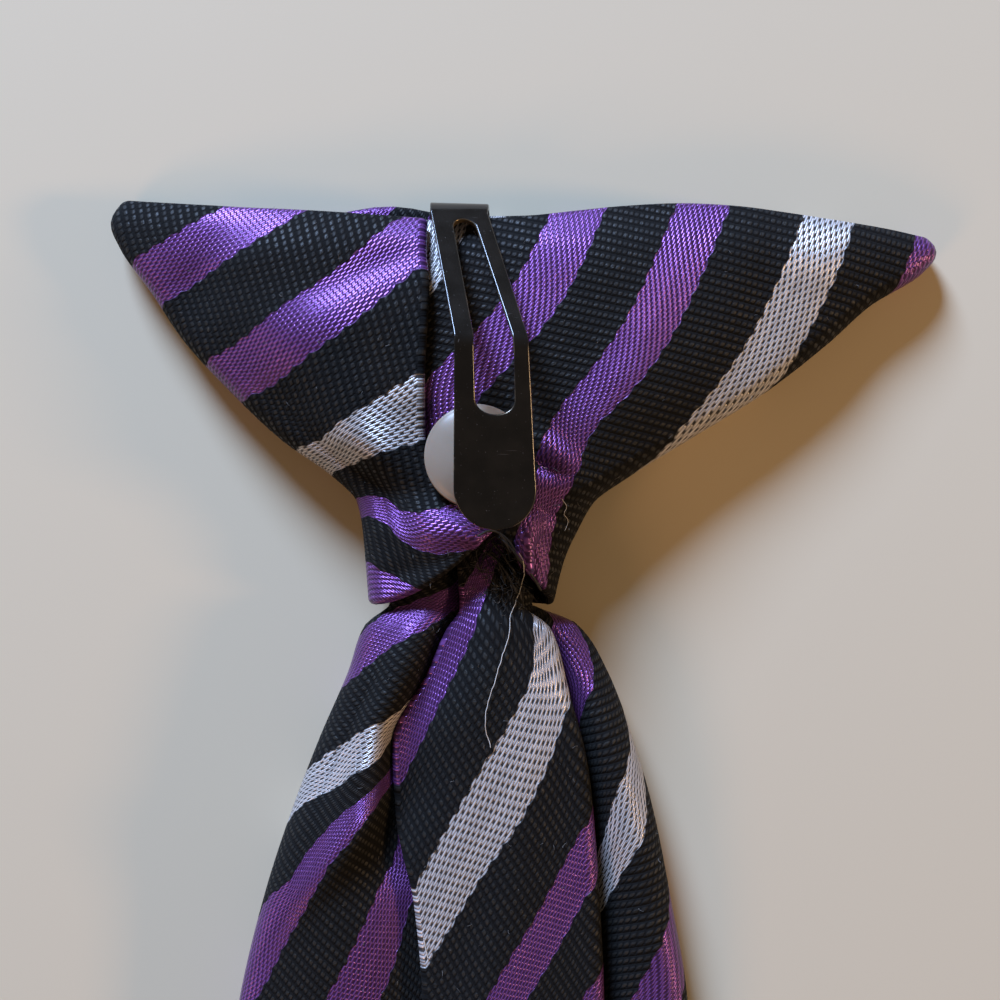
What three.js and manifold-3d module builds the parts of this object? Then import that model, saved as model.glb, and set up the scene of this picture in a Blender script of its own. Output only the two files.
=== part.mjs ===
// Clip-on tie lying face down: a wide folded knot, a spring clip and its rivet on the knot's back, and a
// pleated blade. Millimetres, +Z up. Sizes are read from a working origin on the knot's back, 4 mm above
// the gather of the neck. The group at the end moves the tie so that the part's origin is under the middle
// of the whole tie.
import * as THREE from "three";
import { mergeVertices } from "three/addons/utils/BufferGeometryUtils.js";
import Module from "manifold-3d";

const wasm = await Module();
wasm.setup();

// Driving sizes of the cloth
const CLOTH = 1.2; // wall of the doubled satin
const LAYER_GAP = 0.35; // air between cloth layers that lie on each other
const FLOOR = CLOTH / 2; // middle of the cloth that lies on the surface

// Driving sizes of the clip
const STEEL = 0.6;
const CLIP_TOP_WIDTH = 5.5;
const KNEE_WIDTH = 6.6; // at the crease
const TONGUE_WIDTH = 7.4;
const LEG_WIDTH = 5.6;
const CLIP_BEND = 1.8; // radius of the middle of the sheet over the knot's top edge
const CLIP_CREASE = 1.6;
const LEG_HEADING = -17; // degrees, along +Y and down into the knot's top slit
const LEAF_RISE = 31; // degrees, from the bend up to the crease
const TONGUE_FALL = 8.5; // degrees, from the crease down to the rivet
const LEAF_LENGTH = 13.6; // straight run between bend and crease
const TONGUE_LENGTH = 16.1;
const LEAF_ROLL = 12; // degrees, the clip's left side stands higher
const LEAF_SWING = 0.12; // how far the leaf drifts to the right for each millimetre down
const TONGUE_SWING = 0.055; // the same below the crease
const BEND_CENTRE = { x: -3.7, y: 25.05, z: 5.85 };
const SLOT_TOP = 0.9; // from the bend
const SLOT_END = 5.9; // down the tongue from the crease
const SLOT_TOP_HALF = 0.95;
const SLOT_LOW_HALF = 1.75;
const SLOT_OFFSET = 0.18; // the slot lies right of the clip's middle

// The leg inside the knot: middle of the sheet, and half the width left out of it round the rivet.
const LEG_ROWS = [
  { y: 0.9, z: 6.0, hole: 0 },
  { y: 1.3, z: 6.0, hole: 0 },
  { y: 2.3, z: 6.0, hole: 0.8 },
  { y: 3.2, z: 6.0, hole: 1.8 },
  { y: 4.6, z: 6.0, hole: 1.8 },
  { y: 5.5, z: 6.0, hole: 0.8 },
  { y: 9.5, z: 6.0, hole: 0 },
  { y: 15.5, z: 5.9, hole: 0 },
  { y: 19.5, z: 5.4, hole: 0 },
];

// Driving sizes of the rivet
const RIVET = { x: -2.1, y: 3.9, radius: 4.65, seat: 9.9, dome: 1.4, stem: 1.3, foot: 2.1, footLow: 4.2 };
const FOOT_HEIGHT = 0.9;
const FOOT_SLOPE = 0.3;
const RIM = 0.3; // the button's rounded edge
const STEM_CLEARANCE = 0.35;
const DRILL_LENGTH = 8;
const ROUND_SIDES = 24;

// The tie's whole length, and where its point is
const TIE_LENGTH = 420;
const KNOT_TOP = 28;
const TIP_Y = KNOT_TOP - TIE_LENGTH;
const BLADE_MIDDLE = -5; // x of the lower blade's centre line
const BLADE_HALF = 36; // half of the greatest width
const CORNER_Y = TIP_Y + BLADE_HALF; // the point has a right angle
const HEM = 6;
const HEM_MOST = 0.7; // of the half width, close to the tip
const HEM_ROOM = 0.05; // least length of a flap's hidden end

// Knot: a row for each section across it, from the open top edge down to the neck. y is the section's
// height in the middle, yLeft and yRight at the ears. left and right are the outline, the radii are those
// of the ear folds, and zLeft and zRight the crowns of the two back flaps. lap is the free edge of the left
// flap, which covers under, the hidden end of the right flap. lift is how far the gather pulls the flaps'
// ends up.
const KNOT_COLUMNS = [
  "y", "yLeft", "yRight", "left", "right", "rLeft", "rRight",
  "zLeft", "zRight", "lap", "zLap", "under", "zUnder", "lift",
];
const KNOT_ROWS = [
  [26.9, 28.0, 24.2, -35.3, 40.1, 1.2, 1.0, 6.0, 5.7, -7.1, 7.1, -10.5, 5.4, -1.5],
  [25.0, 26.0, 23.1, -36.5, 41.0, 1.5, 1.2, 6.8, 6.5, -7.2, 7.8, -11.0, 6.0, -0.7],
  [22.8, 24.0, 21.6, -35.7, 39.8, 1.7, 1.4, 7.6, 7.4, -7.2, 8.6, -11.4, 6.7, -0.2],
  [19.0, 19.6, 18.6, -32.6, 34.9, 2.0, 1.8, 8.6, 8.1, -6.9, 9.4, -11.8, 7.4, 0.0],
  [15.0, 15.3, 15.0, -29.7, 30.8, 2.2, 2.1, 9.2, 8.4, -7.1, 9.7, -12.0, 7.7, 0.0],
  [10.5, 10.5, 10.5, -25.3, 25.0, 2.5, 2.4, 9.4, 8.5, -7.3, 9.6, -11.6, 7.6, 0.0],
  [6.0, 6.0, 6.0, -20.5, 17.7, 2.8, 2.7, 9.3, 8.5, -7.3, 8.8, -10.6, 7.2, 0.0],
  [2.4, 2.4, 2.4, -15.5, 11.9, 3.0, 3.2, 8.8, 8.5, -5.9, 8.4, -8.6, 6.9, 0.4],
  [0.2, 0.2, 0.2, -13.4, 8.9, 3.1, 3.4, 8.6, 8.6, -4.8, 8.4, -7.0, 7.2, 1.0],
  [-2.4, -2.4, -2.4, -12.8, 7.4, 3.1, 3.5, 8.9, 8.8, -3.2, 9.0, -4.8, 7.6, 1.9],
  [-5.6, -5.6, -5.6, -12.5, 6.0, 3.1, 3.4, 8.8, 8.7, -1.9, 9.2, -1.6, 8.0, 3.4],
  [-9.7, -9.7, -9.7, -12.2, 5.0, 3.0, 3.4, 8.6, 8.5, -0.9, 8.6, -0.1, 8.2, 5.2],
];
const LEFT_SWAG = 1.8; // how late the left flap's edge climbs to the gather
const EAR_DROOP = 4; // how close to its tip an ear droops

// Waves of the knot's open top edge: where each rises, how far it reaches to both sides, and whether only
// the front layer has it.
const CRESTS = [
  { x: 16.5, reach: 16, rise: 0.95, frontOnly: false },
  { x: -10.5, reach: 6.5, rise: 0.9, frontOnly: true },
];
const CREST_LOW = 19; // height from which the waves grow to the top edge

// Blade: a row for each section across it, from its stitched top inside the neck down. floor is the middle
// of the front layer. back is the crown of the left lobe, which dips under seam, the free edge of the
// middle lobe, to its hidden end at lap. mid is the crown of the middle lobe, and pleat the share of the
// way to the right outline at which it folds under. tuck is the depth of that knife pleat, and turn how far
// it folds over in degrees.
const BLADE_COLUMNS = [
  "y", "floor", "left", "right", "rLeft", "rRight", "back", "lap",
  "seam", "zSeam", "mid", "pleat", "zPleat", "tuck", "turn",
];
const BLADE_ROWS = [
  [-1.6, 2.2, -10.6, 5.0, 1.5, 1.1, 5.8, -1.6, -3.4, 5.8, 6.4, 0.66, 6.6, 0.6, 180],
  [-5.0, 2.2, -10.6, 3.8, 1.5, 1.2, 5.9, -1.6, -3.4, 5.9, 6.5, 0.70, 6.6, 0.6, 180],
  [-8.0, 2.2, -10.1, 3.3, 1.5, 1.3, 5.7, -1.8, -3.2, 6.1, 6.5, 0.84, 6.5, 0.6, 180],
  [-9.9, 2.2, -10.3, 3.0, 1.6, 1.3, 5.9, -2.0, -3.1, 6.4, 7.3, 0.86, 7.0, 0.6, 180],
  [-12.0, 1.4, -12.7, 7.4, 2.4, 1.9, 7.0, -1.9, -4.4, 6.6, 8.1, 0.77, 7.4, 2.4, 180],
  [-16.0, 0.8, -14.1, 10.0, 2.7, 2.4, 7.6, -3.0, -6.2, 6.6, 8.3, 0.75, 7.4, 3.4, 180],
  [-22.0, 0.6, -16.7, 12.3, 2.8, 2.6, 7.6, -5.6, -9.3, 6.4, 8.1, 0.78, 7.2, 4.6, 180],
  [-29.0, 0.6, -19.4, 14.3, 2.7, 2.6, 7.3, -4.9, -9.0, 6.2, 7.7, 0.755, 6.8, 5.4, 180],
  [-37.0, 0.6, -22.0, 15.9, 2.5, 2.4, 6.8, -3.0, -7.3, 6.0, 7.3, 0.71, 6.4, 5.8, 180],
  [-46.5, 0.6, -24.3, 17.5, 2.2, 2.2, 6.2, -1.6, -6.5, 5.7, 6.9, 0.67, 6.2, 5.8, 180],
  [-62.0, 0.6, -26.6, 18.4, 1.9, 1.9, 5.4, -0.8, -6.2, 5.2, 6.3, 0.64, 5.8, 4.8, 180],
  [-90.0, 0.6, -28.9, 19.3, 1.5, 1.5, 4.4, 0.2, -6.1, 4.7, 5.6, 0.60, 5.4, 2.8, 180],
  [-125.0, 0.6, -30.8, 20.9, 1.2, 1.2, 3.5, 0.8, -6.0, 4.3, 4.7, 0.55, 4.5, 0.6, 90],
  [-170.0, 0.6, -32.9, 22.9, 1.05, 1.05, 2.8, 1.0, -5.8, 4.2, 4.3, 0.52, 4.0, 0.5, 10],
  [-260.0, 0.6, -37.0, 27.0, 1.0, 1.0, 2.7, 1.2, -5.4, 4.2, 4.1, 0.50, 3.8, 0.5, 6],
  [-326.0, 0.6, -39.7, 29.7, 1.0, 1.0, 2.7, 1.2, -5.2, 4.2, 4.1, 0.50, 3.7, 0.5, 6],
];
const FLAP_V_TOP = -330; // where the back flaps start to draw apart above the point
const POINT_PRESS = 6; // half width below which the folded point is pressed thinner
const BLADE_STATIONS = [
  -1.6, -5, -8, -9.9, -12, -16, -19, -22, -25.5, -29, -33, -37, -41.5, -46.5, -54, -62, -76, -90, -108, -125,
  -170, -260, -326, -334, -344, -352, -356, -366, -376, -384, -388.5, -390.8,
];

// Points along the parts of a section
const FLAP_STEPS = 4;
const LOBE_STEPS = 6;
const FOLD_STEPS = 4;
const FRONT_STEPS = 5;
const PLEAT_STEPS = 3;
const BEND_STEPS = 6;
const CREASE_STEPS = 3;
const LEAF_STATIONS = [0.4, SLOT_TOP, 1.7, 6.5, LEAF_LENGTH]; // from the bend
const TONGUE_STRAIGHT = TONGUE_LENGTH - TONGUE_WIDTH / 2;
const TONGUE_STATIONS = [2.2, 4.2, 5.3, SLOT_END, 6.3, 9.2, TONGUE_STRAIGHT]; // from the crease
const TONGUE_END = [0.3, 0.55, 0.75, 0.9, 0.975]; // shares of the round end
const SLOT_ROUND = 0.35; // how wide the slot starts at its round ends
const OPEN_TURN = 40; // degrees, below which the pleat's folds open out into wider bends
const SHOULDER = 72; // degrees, where a flap leaves its round side fold

const radians = (degrees) => (degrees * Math.PI) / 180;
const mix = (a, b, share) => a + (b - a) * share;

// Slopes of a smooth curve that never overshoots its own points.
function smoothSlopes(keys, values) {
  const steps = keys.slice(1).map((key, i) => key - keys[i]);
  const rates = steps.map((step, i) => (values[i + 1] - values[i]) / step);
  return keys.map((_, i) => {
    if (i === 0) return rates[0];
    if (i === keys.length - 1) return rates[i - 1];
    const [before, after] = [rates[i - 1], rates[i]];
    if (before * after <= 0) return 0;
    const first = 2 * steps[i] + steps[i - 1];
    const second = steps[i] + 2 * steps[i - 1];
    return (first + second) / (first / before + second / after);
  });
}

// A table read at any value of its first column, with each named column joined by a smooth curve.
function tableReader(columns, rows) {
  const keys = rows.map((row) => row[0]);
  const slopes = columns.map((_, c) => smoothSlopes(keys, rows.map((row) => row[c])));
  return (key) => {
    let i = 0;
    while (i < keys.length - 2 && key < keys[i + 1]) i += 1;
    const step = keys[i + 1] - keys[i];
    const t = (key - keys[i]) / step;
    const read = {};
    columns.forEach((name, c) => {
      const [a, b] = [rows[i][c], rows[i + 1][c]];
      const [da, db] = [slopes[c][i] * step, slopes[c][i + 1] * step];
      const value = a * (1 + 2 * t) * (1 - t) ** 2 + b * t * t * (3 - 2 * t);
      read[name] = value + da * t * (1 - t) ** 2 - db * t * t * (1 - t);
    });
    return read;
  };
}

// A section's path through the middle of the cloth, in x and z, with named stretches.
class SectionPath {
  constructor(x, z, stretch) {
    this.points = [{ x, z, stretch, share: 0 }];
  }
  get end() {
    return this.points[this.points.length - 1];
  }
  // A smooth bend from the path's end, leaving and arriving in the given directions.
  bendTo(x, z, leaving, arriving, steps, stretch) {
    const from = { x: this.end.x, z: this.end.z };
    const reach = Math.hypot(x - from.x, z - from.z) / 3;
    const a = { x: from.x + reach * Math.cos(leaving), z: from.z + reach * Math.sin(leaving) };
    const b = { x: x - reach * Math.cos(arriving), z: z - reach * Math.sin(arriving) };
    const curve = (t, p0, p1, p2, p3) =>
      p0 * (1 - t) ** 3 + 3 * p1 * t * (1 - t) ** 2 + 3 * p2 * t * t * (1 - t) + p3 * t ** 3;
    for (let i = 1; i <= steps; i += 1) {
      const t = i / steps;
      this.points.push({
        x: curve(t, from.x, a.x, b.x, x),
        z: curve(t, from.z, a.z, b.z, z),
        stretch,
        share: t,
      });
    }
  }
  // An arc about a centre, between two angles.
  arc(centre, radius, from, to, steps, stretch) {
    for (let i = 1; i <= steps; i += 1) {
      const angle = mix(from, to, i / steps);
      this.points.push({
        x: centre.x + radius * Math.cos(angle),
        z: centre.z + radius * Math.sin(angle),
        stretch,
        share: i / steps,
      });
    }
  }
}

const headingOf = (a, b) => Math.atan2(b.z - a.z, b.x - a.x);

// The right side fold, the front layer and the left side fold, shared by knot and blade.
function wrapFront(path, row, floor, cloth) {
  const right = { x: row.right - cloth / 2 - row.rRight, z: floor + row.rRight };
  const left = { x: row.left + cloth / 2 + row.rLeft, z: floor + row.rLeft };
  const shoulder = radians(SHOULDER);
  path.arc(right, row.rRight, shoulder, -Math.PI / 2, FOLD_STEPS, "rightFold");
  path.bendTo(left.x, floor, Math.PI, Math.PI, FRONT_STEPS, "front");
  path.arc(left, row.rLeft, -Math.PI / 2, -Math.PI - shoulder, FOLD_STEPS, "leftFold");
}

const shoulderPoint = (row, floor, cloth) => ({
  x: row.right - cloth / 2 - row.rRight + row.rRight * Math.cos(radians(SHOULDER)),
  z: floor + row.rRight + row.rRight * Math.sin(radians(SHOULDER)),
});

// One section of the knot, from the hidden end of the right flap round to the free edge of the left flap.
function knotSection(row) {
  const shoulder = shoulderPoint(row, FLOOR, CLOTH);
  const crown = { x: mix(row.under, row.right, 0.5), z: row.zRight };
  const start = { x: row.under, z: row.zUnder };
  const path = new SectionPath(start.x, start.z, "rightFlap");
  const across = headingOf(start, shoulder);
  path.bendTo(crown.x, crown.z, headingOf(start, crown), across, FLAP_STEPS, "rightFlap");
  path.bendTo(shoulder.x, shoulder.z, across, radians(SHOULDER - 90), FLAP_STEPS, "rightFlap");
  wrapFront(path, row, FLOOR, CLOTH);
  const rise = { x: path.end.x, z: path.end.z };
  const end = { x: row.lap, z: row.zLap };
  const back = { x: mix(rise.x, end.x, 0.5), z: row.zLeft };
  path.bendTo(back.x, back.z, radians(90 - SHOULDER), headingOf(rise, end), FLAP_STEPS, "leftFlap");
  path.bendTo(end.x, end.z, headingOf(rise, end), headingOf(back, end), FLAP_STEPS, "leftFlap");
  return path.points;
}

// Where a point of the knot's cloth lies along Y: the ears droop, the top edge waves, and the flaps' ends
// are drawn up to the gather.
function knotHeight(row, point) {
  const [edge, edgeY] = point.x < 0 ? [row.left, row.yLeft] : [row.right, row.yRight];
  let y = row.y + (edgeY - row.y) * Math.abs(point.x / edge) ** EAR_DROOP;
  const nearTop = Math.max(0, (row.y - CREST_LOW) / (KNOT_ROWS[0][0] - CREST_LOW));
  for (const crest of CRESTS) {
    const isFront = point.stretch === "front";
    const off = Math.min(1, Math.abs(point.x - crest.x) / crest.reach);
    if (isFront || !crest.frontOnly) y += crest.rise * nearTop * (1 - off ** 2) ** 2;
  }
  const onBack = point.z > FLOOR + (point.x < 0 ? row.rLeft : row.rRight);
  if (onBack && point.stretch.startsWith("left")) {
    y += row.lift * Math.max(0, (point.x - row.left) / (row.lap - row.left)) ** LEFT_SWAG;
  }
  if (onBack && point.stretch.startsWith("right")) {
    y += row.lift * Math.sin((Math.PI / 2) * Math.max(0, (row.right - point.x) / (row.right - row.under)));
  }
  return y;
}

// One section of the blade, from the free edge of the middle lobe round to the hidden end of the left lobe.
function bladeSection(row, cloth) {
  const shoulder = shoulderPoint(row, row.floor, cloth);
  const start = { x: row.seam, z: row.zSeam };
  const turn = radians(row.turn);
  const radius = ((cloth + LAYER_GAP) / 2) * Math.max(1, OPEN_TURN / row.turn);
  const foldX = mix(row.seam, row.right, row.pleat) - cloth / 2 - radius * Math.min(1, Math.sin(turn / 2));
  const edge = { x: foldX, z: row.zPleat };
  const crown = { x: mix(start.x, edge.x, 0.45), z: row.mid };
  const path = new SectionPath(start.x, start.z, "middleLobe");
  const across = headingOf(start, edge);
  path.bendTo(crown.x, crown.z, headingOf(start, crown), across, FLAP_STEPS, "middleLobe");
  path.bendTo(edge.x, edge.z, across, 0, FLAP_STEPS, "middleLobe");
  path.arc({ x: edge.x, z: edge.z - radius }, radius, Math.PI / 2, Math.PI / 2 - turn, PLEAT_STEPS, "pleat");
  const under = path.end;
  const hidden = { x: under.x + row.tuck * Math.cos(turn), z: under.z - row.tuck * Math.sin(turn) };
  path.bendTo(hidden.x, hidden.z, -turn, -turn, 1, "pleat");
  const centre = { x: hidden.x + radius * Math.sin(turn), z: hidden.z + radius * Math.cos(turn) };
  path.arc(centre, radius, -turn - Math.PI / 2, -Math.PI / 2, PLEAT_STEPS, "pleat");
  const out = { x: path.end.x, z: path.end.z };
  path.bendTo(Math.max(out.x, edge.x) + LAYER_GAP, out.z, 0, 0, 1, "pleat");
  path.bendTo(shoulder.x, shoulder.z, 0, radians(SHOULDER - 90), LOBE_STEPS, "rightLobe");
  wrapFront(path, row, row.floor, cloth);
  const rise = { x: path.end.x, z: path.end.z };
  const dip = { x: Math.min(row.seam, row.lap), z: row.zSeam - row.under };
  const back = { x: mix(rise.x, dip.x, 0.5), z: row.back };
  const fall = headingOf(back, dip);
  path.bendTo(back.x, back.z, radians(90 - SHOULDER), fall / 3, FLAP_STEPS, "leftLobe");
  path.bendTo(dip.x, dip.z, fall / 3, fall / 2, FLAP_STEPS, "leftLobe");
  path.bendTo(row.lap + HEM_ROOM, dip.z, fall / 2, 0, 1, "leftLobe");
  return path.points;
}

const readKnot = tableReader(KNOT_COLUMNS, KNOT_ROWS);
const readBlade = tableReader(BLADE_COLUMNS, BLADE_ROWS);

// The blade's row at any height. Below the table it widens to the corners of the point, where the back
// flaps draw apart to narrow hems, and closes to the pressed point itself.
function bladeRow(y) {
  const last = BLADE_ROWS[BLADE_ROWS.length - 1][0];
  const row = readBlade(Math.max(y, last));
  row.cloth = CLOTH;
  row.under = CLOTH + 1.5 * LAYER_GAP;
  if (y >= last) return row;
  const widening = (y - CORNER_Y) / (last - CORNER_Y);
  const half = y > CORNER_Y ? mix(BLADE_HALF, (row.right - row.left) / 2, widening) : y - TIP_Y;
  row.left = BLADE_MIDDLE - half;
  row.right = BLADE_MIDDLE + half;
  const apart = Math.min(1, Math.max(0, (FLAP_V_TOP - y) / (FLAP_V_TOP - CORNER_Y)));
  const hem = Math.min(HEM, HEM_MOST * half);
  row.seam = mix(row.seam, row.right - hem, apart);
  row.lap = mix(row.lap, row.left + hem, apart);
  row.zSeam = mix(row.zSeam, row.floor + 2 * row.rRight, apart);
  row.mid = mix(row.mid, row.floor + 2 * row.rRight, apart);
  row.zPleat = mix(row.zPleat, row.floor + 2 * row.rRight, apart);
  row.back = mix(row.back, row.floor + 2 * row.rLeft, apart);
  row.under = mix(row.under, 0, apart);
  const press = Math.min(1, half / POINT_PRESS);
  row.cloth = CLOTH * press;
  row.floor *= press;
  for (const name of ["rLeft", "rRight", "zSeam", "mid", "zPleat", "back"]) {
    row[name] *= press;
  }
  return row;
}

// A closed wall of cloth through stations of equal numbers of middle points, each with its own thickness.
function clothWall(stations) {
  const across = stations[0].points.length;
  const position = [];
  for (const side of [1, -1]) {
    for (const station of stations) {
      station.points.forEach((p, j) => {
        const before = station.points[Math.max(0, j - 1)];
        const after = station.points[Math.min(across - 1, j + 1)];
        const length = Math.hypot(after.x - before.x, after.z - before.z);
        const off = (side * station.cloth) / 2 / length;
        position.push(p.x - (after.z - before.z) * off, p.y, p.z + (after.x - before.x) * off);
      });
    }
  }
  const count = stations.length * across;
  const index = [];
  const quad = (a, b, c, d) => index.push(a, b, c, a, c, d);
  const outer = (i, j) => i * across + j;
  const inner = (i, j) => count + i * across + j;
  for (let i = 0; i < stations.length - 1; i += 1) {
    for (let j = 0; j < across - 1; j += 1) {
      quad(outer(i, j), outer(i + 1, j), outer(i + 1, j + 1), outer(i, j + 1));
      quad(inner(i, j), inner(i, j + 1), inner(i + 1, j + 1), inner(i + 1, j));
    }
    quad(outer(i, 0), inner(i, 0), inner(i + 1, 0), outer(i + 1, 0));
    quad(outer(i, across - 1), outer(i + 1, across - 1), inner(i + 1, across - 1), inner(i, across - 1));
  }
  const last = stations.length - 1;
  for (let j = 0; j < across - 1; j += 1) {
    quad(outer(0, j), outer(0, j + 1), inner(0, j + 1), inner(0, j));
    quad(outer(last, j), inner(last, j), inner(last, j + 1), outer(last, j + 1));
  }
  return meshOf(position, index);
}

function meshOf(position, index) {
  const geometry = new THREE.BufferGeometry();
  geometry.setAttribute("position", new THREE.Float32BufferAttribute(position, 3));
  geometry.setIndex(index);
  geometry.computeVertexNormals();
  return geometry;
}

// Booleans
function solidOf(geometry) {
  const bare = geometry.clone();
  bare.deleteAttribute("normal");
  bare.deleteAttribute("uv");
  const merged = mergeVertices(bare, 1e-4);
  return new wasm.Manifold(
    new wasm.Mesh({
      numProp: 3,
      vertProperties: new Float32Array(merged.attributes.position.array),
      triVerts: new Uint32Array(merged.index.array),
    }),
  );
}

function cutFrom(geometry, cutter) {
  const made = solidOf(geometry).subtract(solidOf(cutter)).getMesh();
  return meshOf(Array.from(made.vertProperties), Array.from(made.triVerts));
}

// The knot: one piece of cloth wrapped round, open along its top edge, with the rivet's hole in its right
// flap.
function knotWrap() {
  const stations = KNOT_ROWS.map(([y]) => {
    const row = readKnot(y);
    const points = knotSection(row).map((p) => ({ ...p, y: knotHeight(row, p) }));
    return { points, cloth: CLOTH };
  });
  const bore = RIVET.stem + STEM_CLEARANCE;
  const drill = new THREE.CylinderGeometry(bore, bore, DRILL_LENGTH, ROUND_SIDES);
  drill.rotateX(Math.PI / 2);
  drill.translate(RIVET.x, RIVET.y, RIVET.seat);
  return cutFrom(clothWall(stations), drill);
}

// The blade: one piece of cloth folded into a tube, with a knife pleat below the neck and a right-angled
// point.
function blade() {
  const stations = BLADE_STATIONS.map((y) => {
    const row = bladeRow(y);
    return { points: bladeSection(row, row.cloth).map((p) => ({ ...p, y })), cloth: row.cloth };
  });
  return clothWall(stations);
}

// Where the clip's sheet is on the bend, seen from the side, for the direction it runs in.
const bendPoint = (heading) => ({
  y: BEND_CENTRE.y + CLIP_BEND * Math.sin(heading),
  z: BEND_CENTRE.z - CLIP_BEND * Math.cos(heading),
});
const LEG = radians(LEG_HEADING);
const LEAF = radians(180 - LEAF_RISE);
const TONGUE = radians(180 + TONGUE_FALL);
const MOUTH = bendPoint(LEG);
const ROOT = bendPoint(LEAF);
const KNEE_DOWN = LEAF_LENGTH * Math.cos(radians(LEAF_RISE)); // how far the crease is below the bend

// The clip's sheet, seen from the side: y and z of its middle, with the direction it runs in, from the end
// of the leg inside the knot, over the top edge, up the leaf, over the crease and down the tongue. run is
// the way from the bend.
function clipProfile() {
  const profile = LEG_ROWS.map((point, i) => {
    const [before, next] = [LEG_ROWS[i - 1] ?? point, LEG_ROWS[i + 1] ?? MOUTH];
    return { ...point, heading: Math.atan2(next.z - before.z, next.y - before.y), part: "leg" };
  });
  for (let i = 0; i <= BEND_STEPS; i += 1) {
    const heading = mix(LEG, LEAF, i / BEND_STEPS);
    profile.push({ ...bendPoint(heading), heading, part: "bend", share: i / BEND_STEPS });
  }
  const along = (from, heading, length) => ({
    y: from.y + length * Math.cos(heading),
    z: from.z + length * Math.sin(heading),
    heading,
    part: "leaf",
    run: (from.run ?? 0) + length,
  });
  LEAF_STATIONS.forEach((length) => profile.push(along(ROOT, LEAF, length)));
  const crest = profile[profile.length - 1];
  const pivot = { y: crest.y - CLIP_CREASE * Math.sin(LEAF), z: crest.z + CLIP_CREASE * Math.cos(LEAF) };
  for (let i = 1; i <= CREASE_STEPS; i += 1) {
    const heading = mix(LEAF, TONGUE, i / CREASE_STEPS);
    profile.push({
      y: pivot.y + CLIP_CREASE * Math.sin(heading),
      z: pivot.z - CLIP_CREASE * Math.cos(heading),
      heading,
      part: "leaf",
      run: crest.run + CLIP_CREASE * (heading - LEAF),
    });
  }
  const knee = profile[profile.length - 1];
  TONGUE_STATIONS.forEach((length) => profile.push(along(knee, TONGUE, length)));
  TONGUE_END.forEach((share) => {
    profile.push(along(knee, TONGUE, TONGUE_STRAIGHT + (share * TONGUE_WIDTH) / 2));
  });
  return { profile, kneeRun: knee.run };
}

// Half the width of the clip at a point, and half of what is left out of its middle third there.
function clipWidths(point, kneeRun) {
  if (point.part === "leg") {
    return { half: LEG_WIDTH / 2, gap: point.hole || SLOT_TOP_HALF, open: point.hole > 0 };
  }
  if (point.part === "bend") {
    return { half: mix(LEG_WIDTH, CLIP_TOP_WIDTH, point.share) / 2, gap: SLOT_TOP_HALF, open: false };
  }
  const down = Math.min(1, point.run / kneeRun);
  const pastKnee = point.run - kneeRun;
  const round = Math.max(0, (pastKnee - TONGUE_STRAIGHT) / (TONGUE_WIDTH / 2));
  const pastShare = Math.min(1, Math.max(0, pastKnee / TONGUE_STRAIGHT));
  const width = mix(mix(CLIP_TOP_WIDTH, KNEE_WIDTH, down), TONGUE_WIDTH, pastShare);
  const half = (width / 2) * Math.sqrt(1 - round ** 2);
  const open = point.run >= SLOT_TOP && pastKnee <= SLOT_END;
  if (!open) return { half, gap: half * SLOT_ROUND, open };
  const fromTop = Math.min(1, SLOT_ROUND + (point.run - SLOT_TOP) / SLOT_TOP_HALF);
  const fromEnd = Math.min(1, SLOT_ROUND + (SLOT_END - pastKnee) / SLOT_LOW_HALF);
  return { half, gap: mix(SLOT_TOP_HALF, SLOT_LOW_HALF, down) * Math.min(fromTop, fromEnd), open };
}

// The corners of the clip's section at a point of its profile: four across the upper face, four across the
// lower.
function clipCorners(point, half, gap) {
  const onLeaf = point.part === "leaf";
  const roll = radians(LEAF_ROLL) * (onLeaf ? 1 : (point.share ?? 0));
  const down = onLeaf ? ROOT.y - point.y : 0;
  const swing = LEAF_SWING * Math.min(down, KNEE_DOWN) + TONGUE_SWING * Math.max(0, down - KNEE_DOWN);
  const lean = onLeaf ? (point.z - ROOT.z) * Math.tan(roll) + swing : 0;
  const aside = SLOT_OFFSET * (onLeaf ? 1 : (point.share ?? 0));
  const toRivet = point.part === "leg" ? (MOUTH.y - point.y) / (MOUTH.y - RIVET.y) : 0;
  const inset = toRivet * (RIVET.x - BEND_CENTRE.x);
  const middle = BEND_CENTRE.x + lean + inset;
  return [STEEL / 2, -STEEL / 2].flatMap((off) =>
    [-half, aside - gap, aside + gap, half].map((across) => [
      middle + across * Math.cos(roll),
      point.y - off * Math.sin(point.heading),
      point.z + off * Math.cos(point.heading) - across * Math.sin(roll),
    ]),
  );
}

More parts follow.
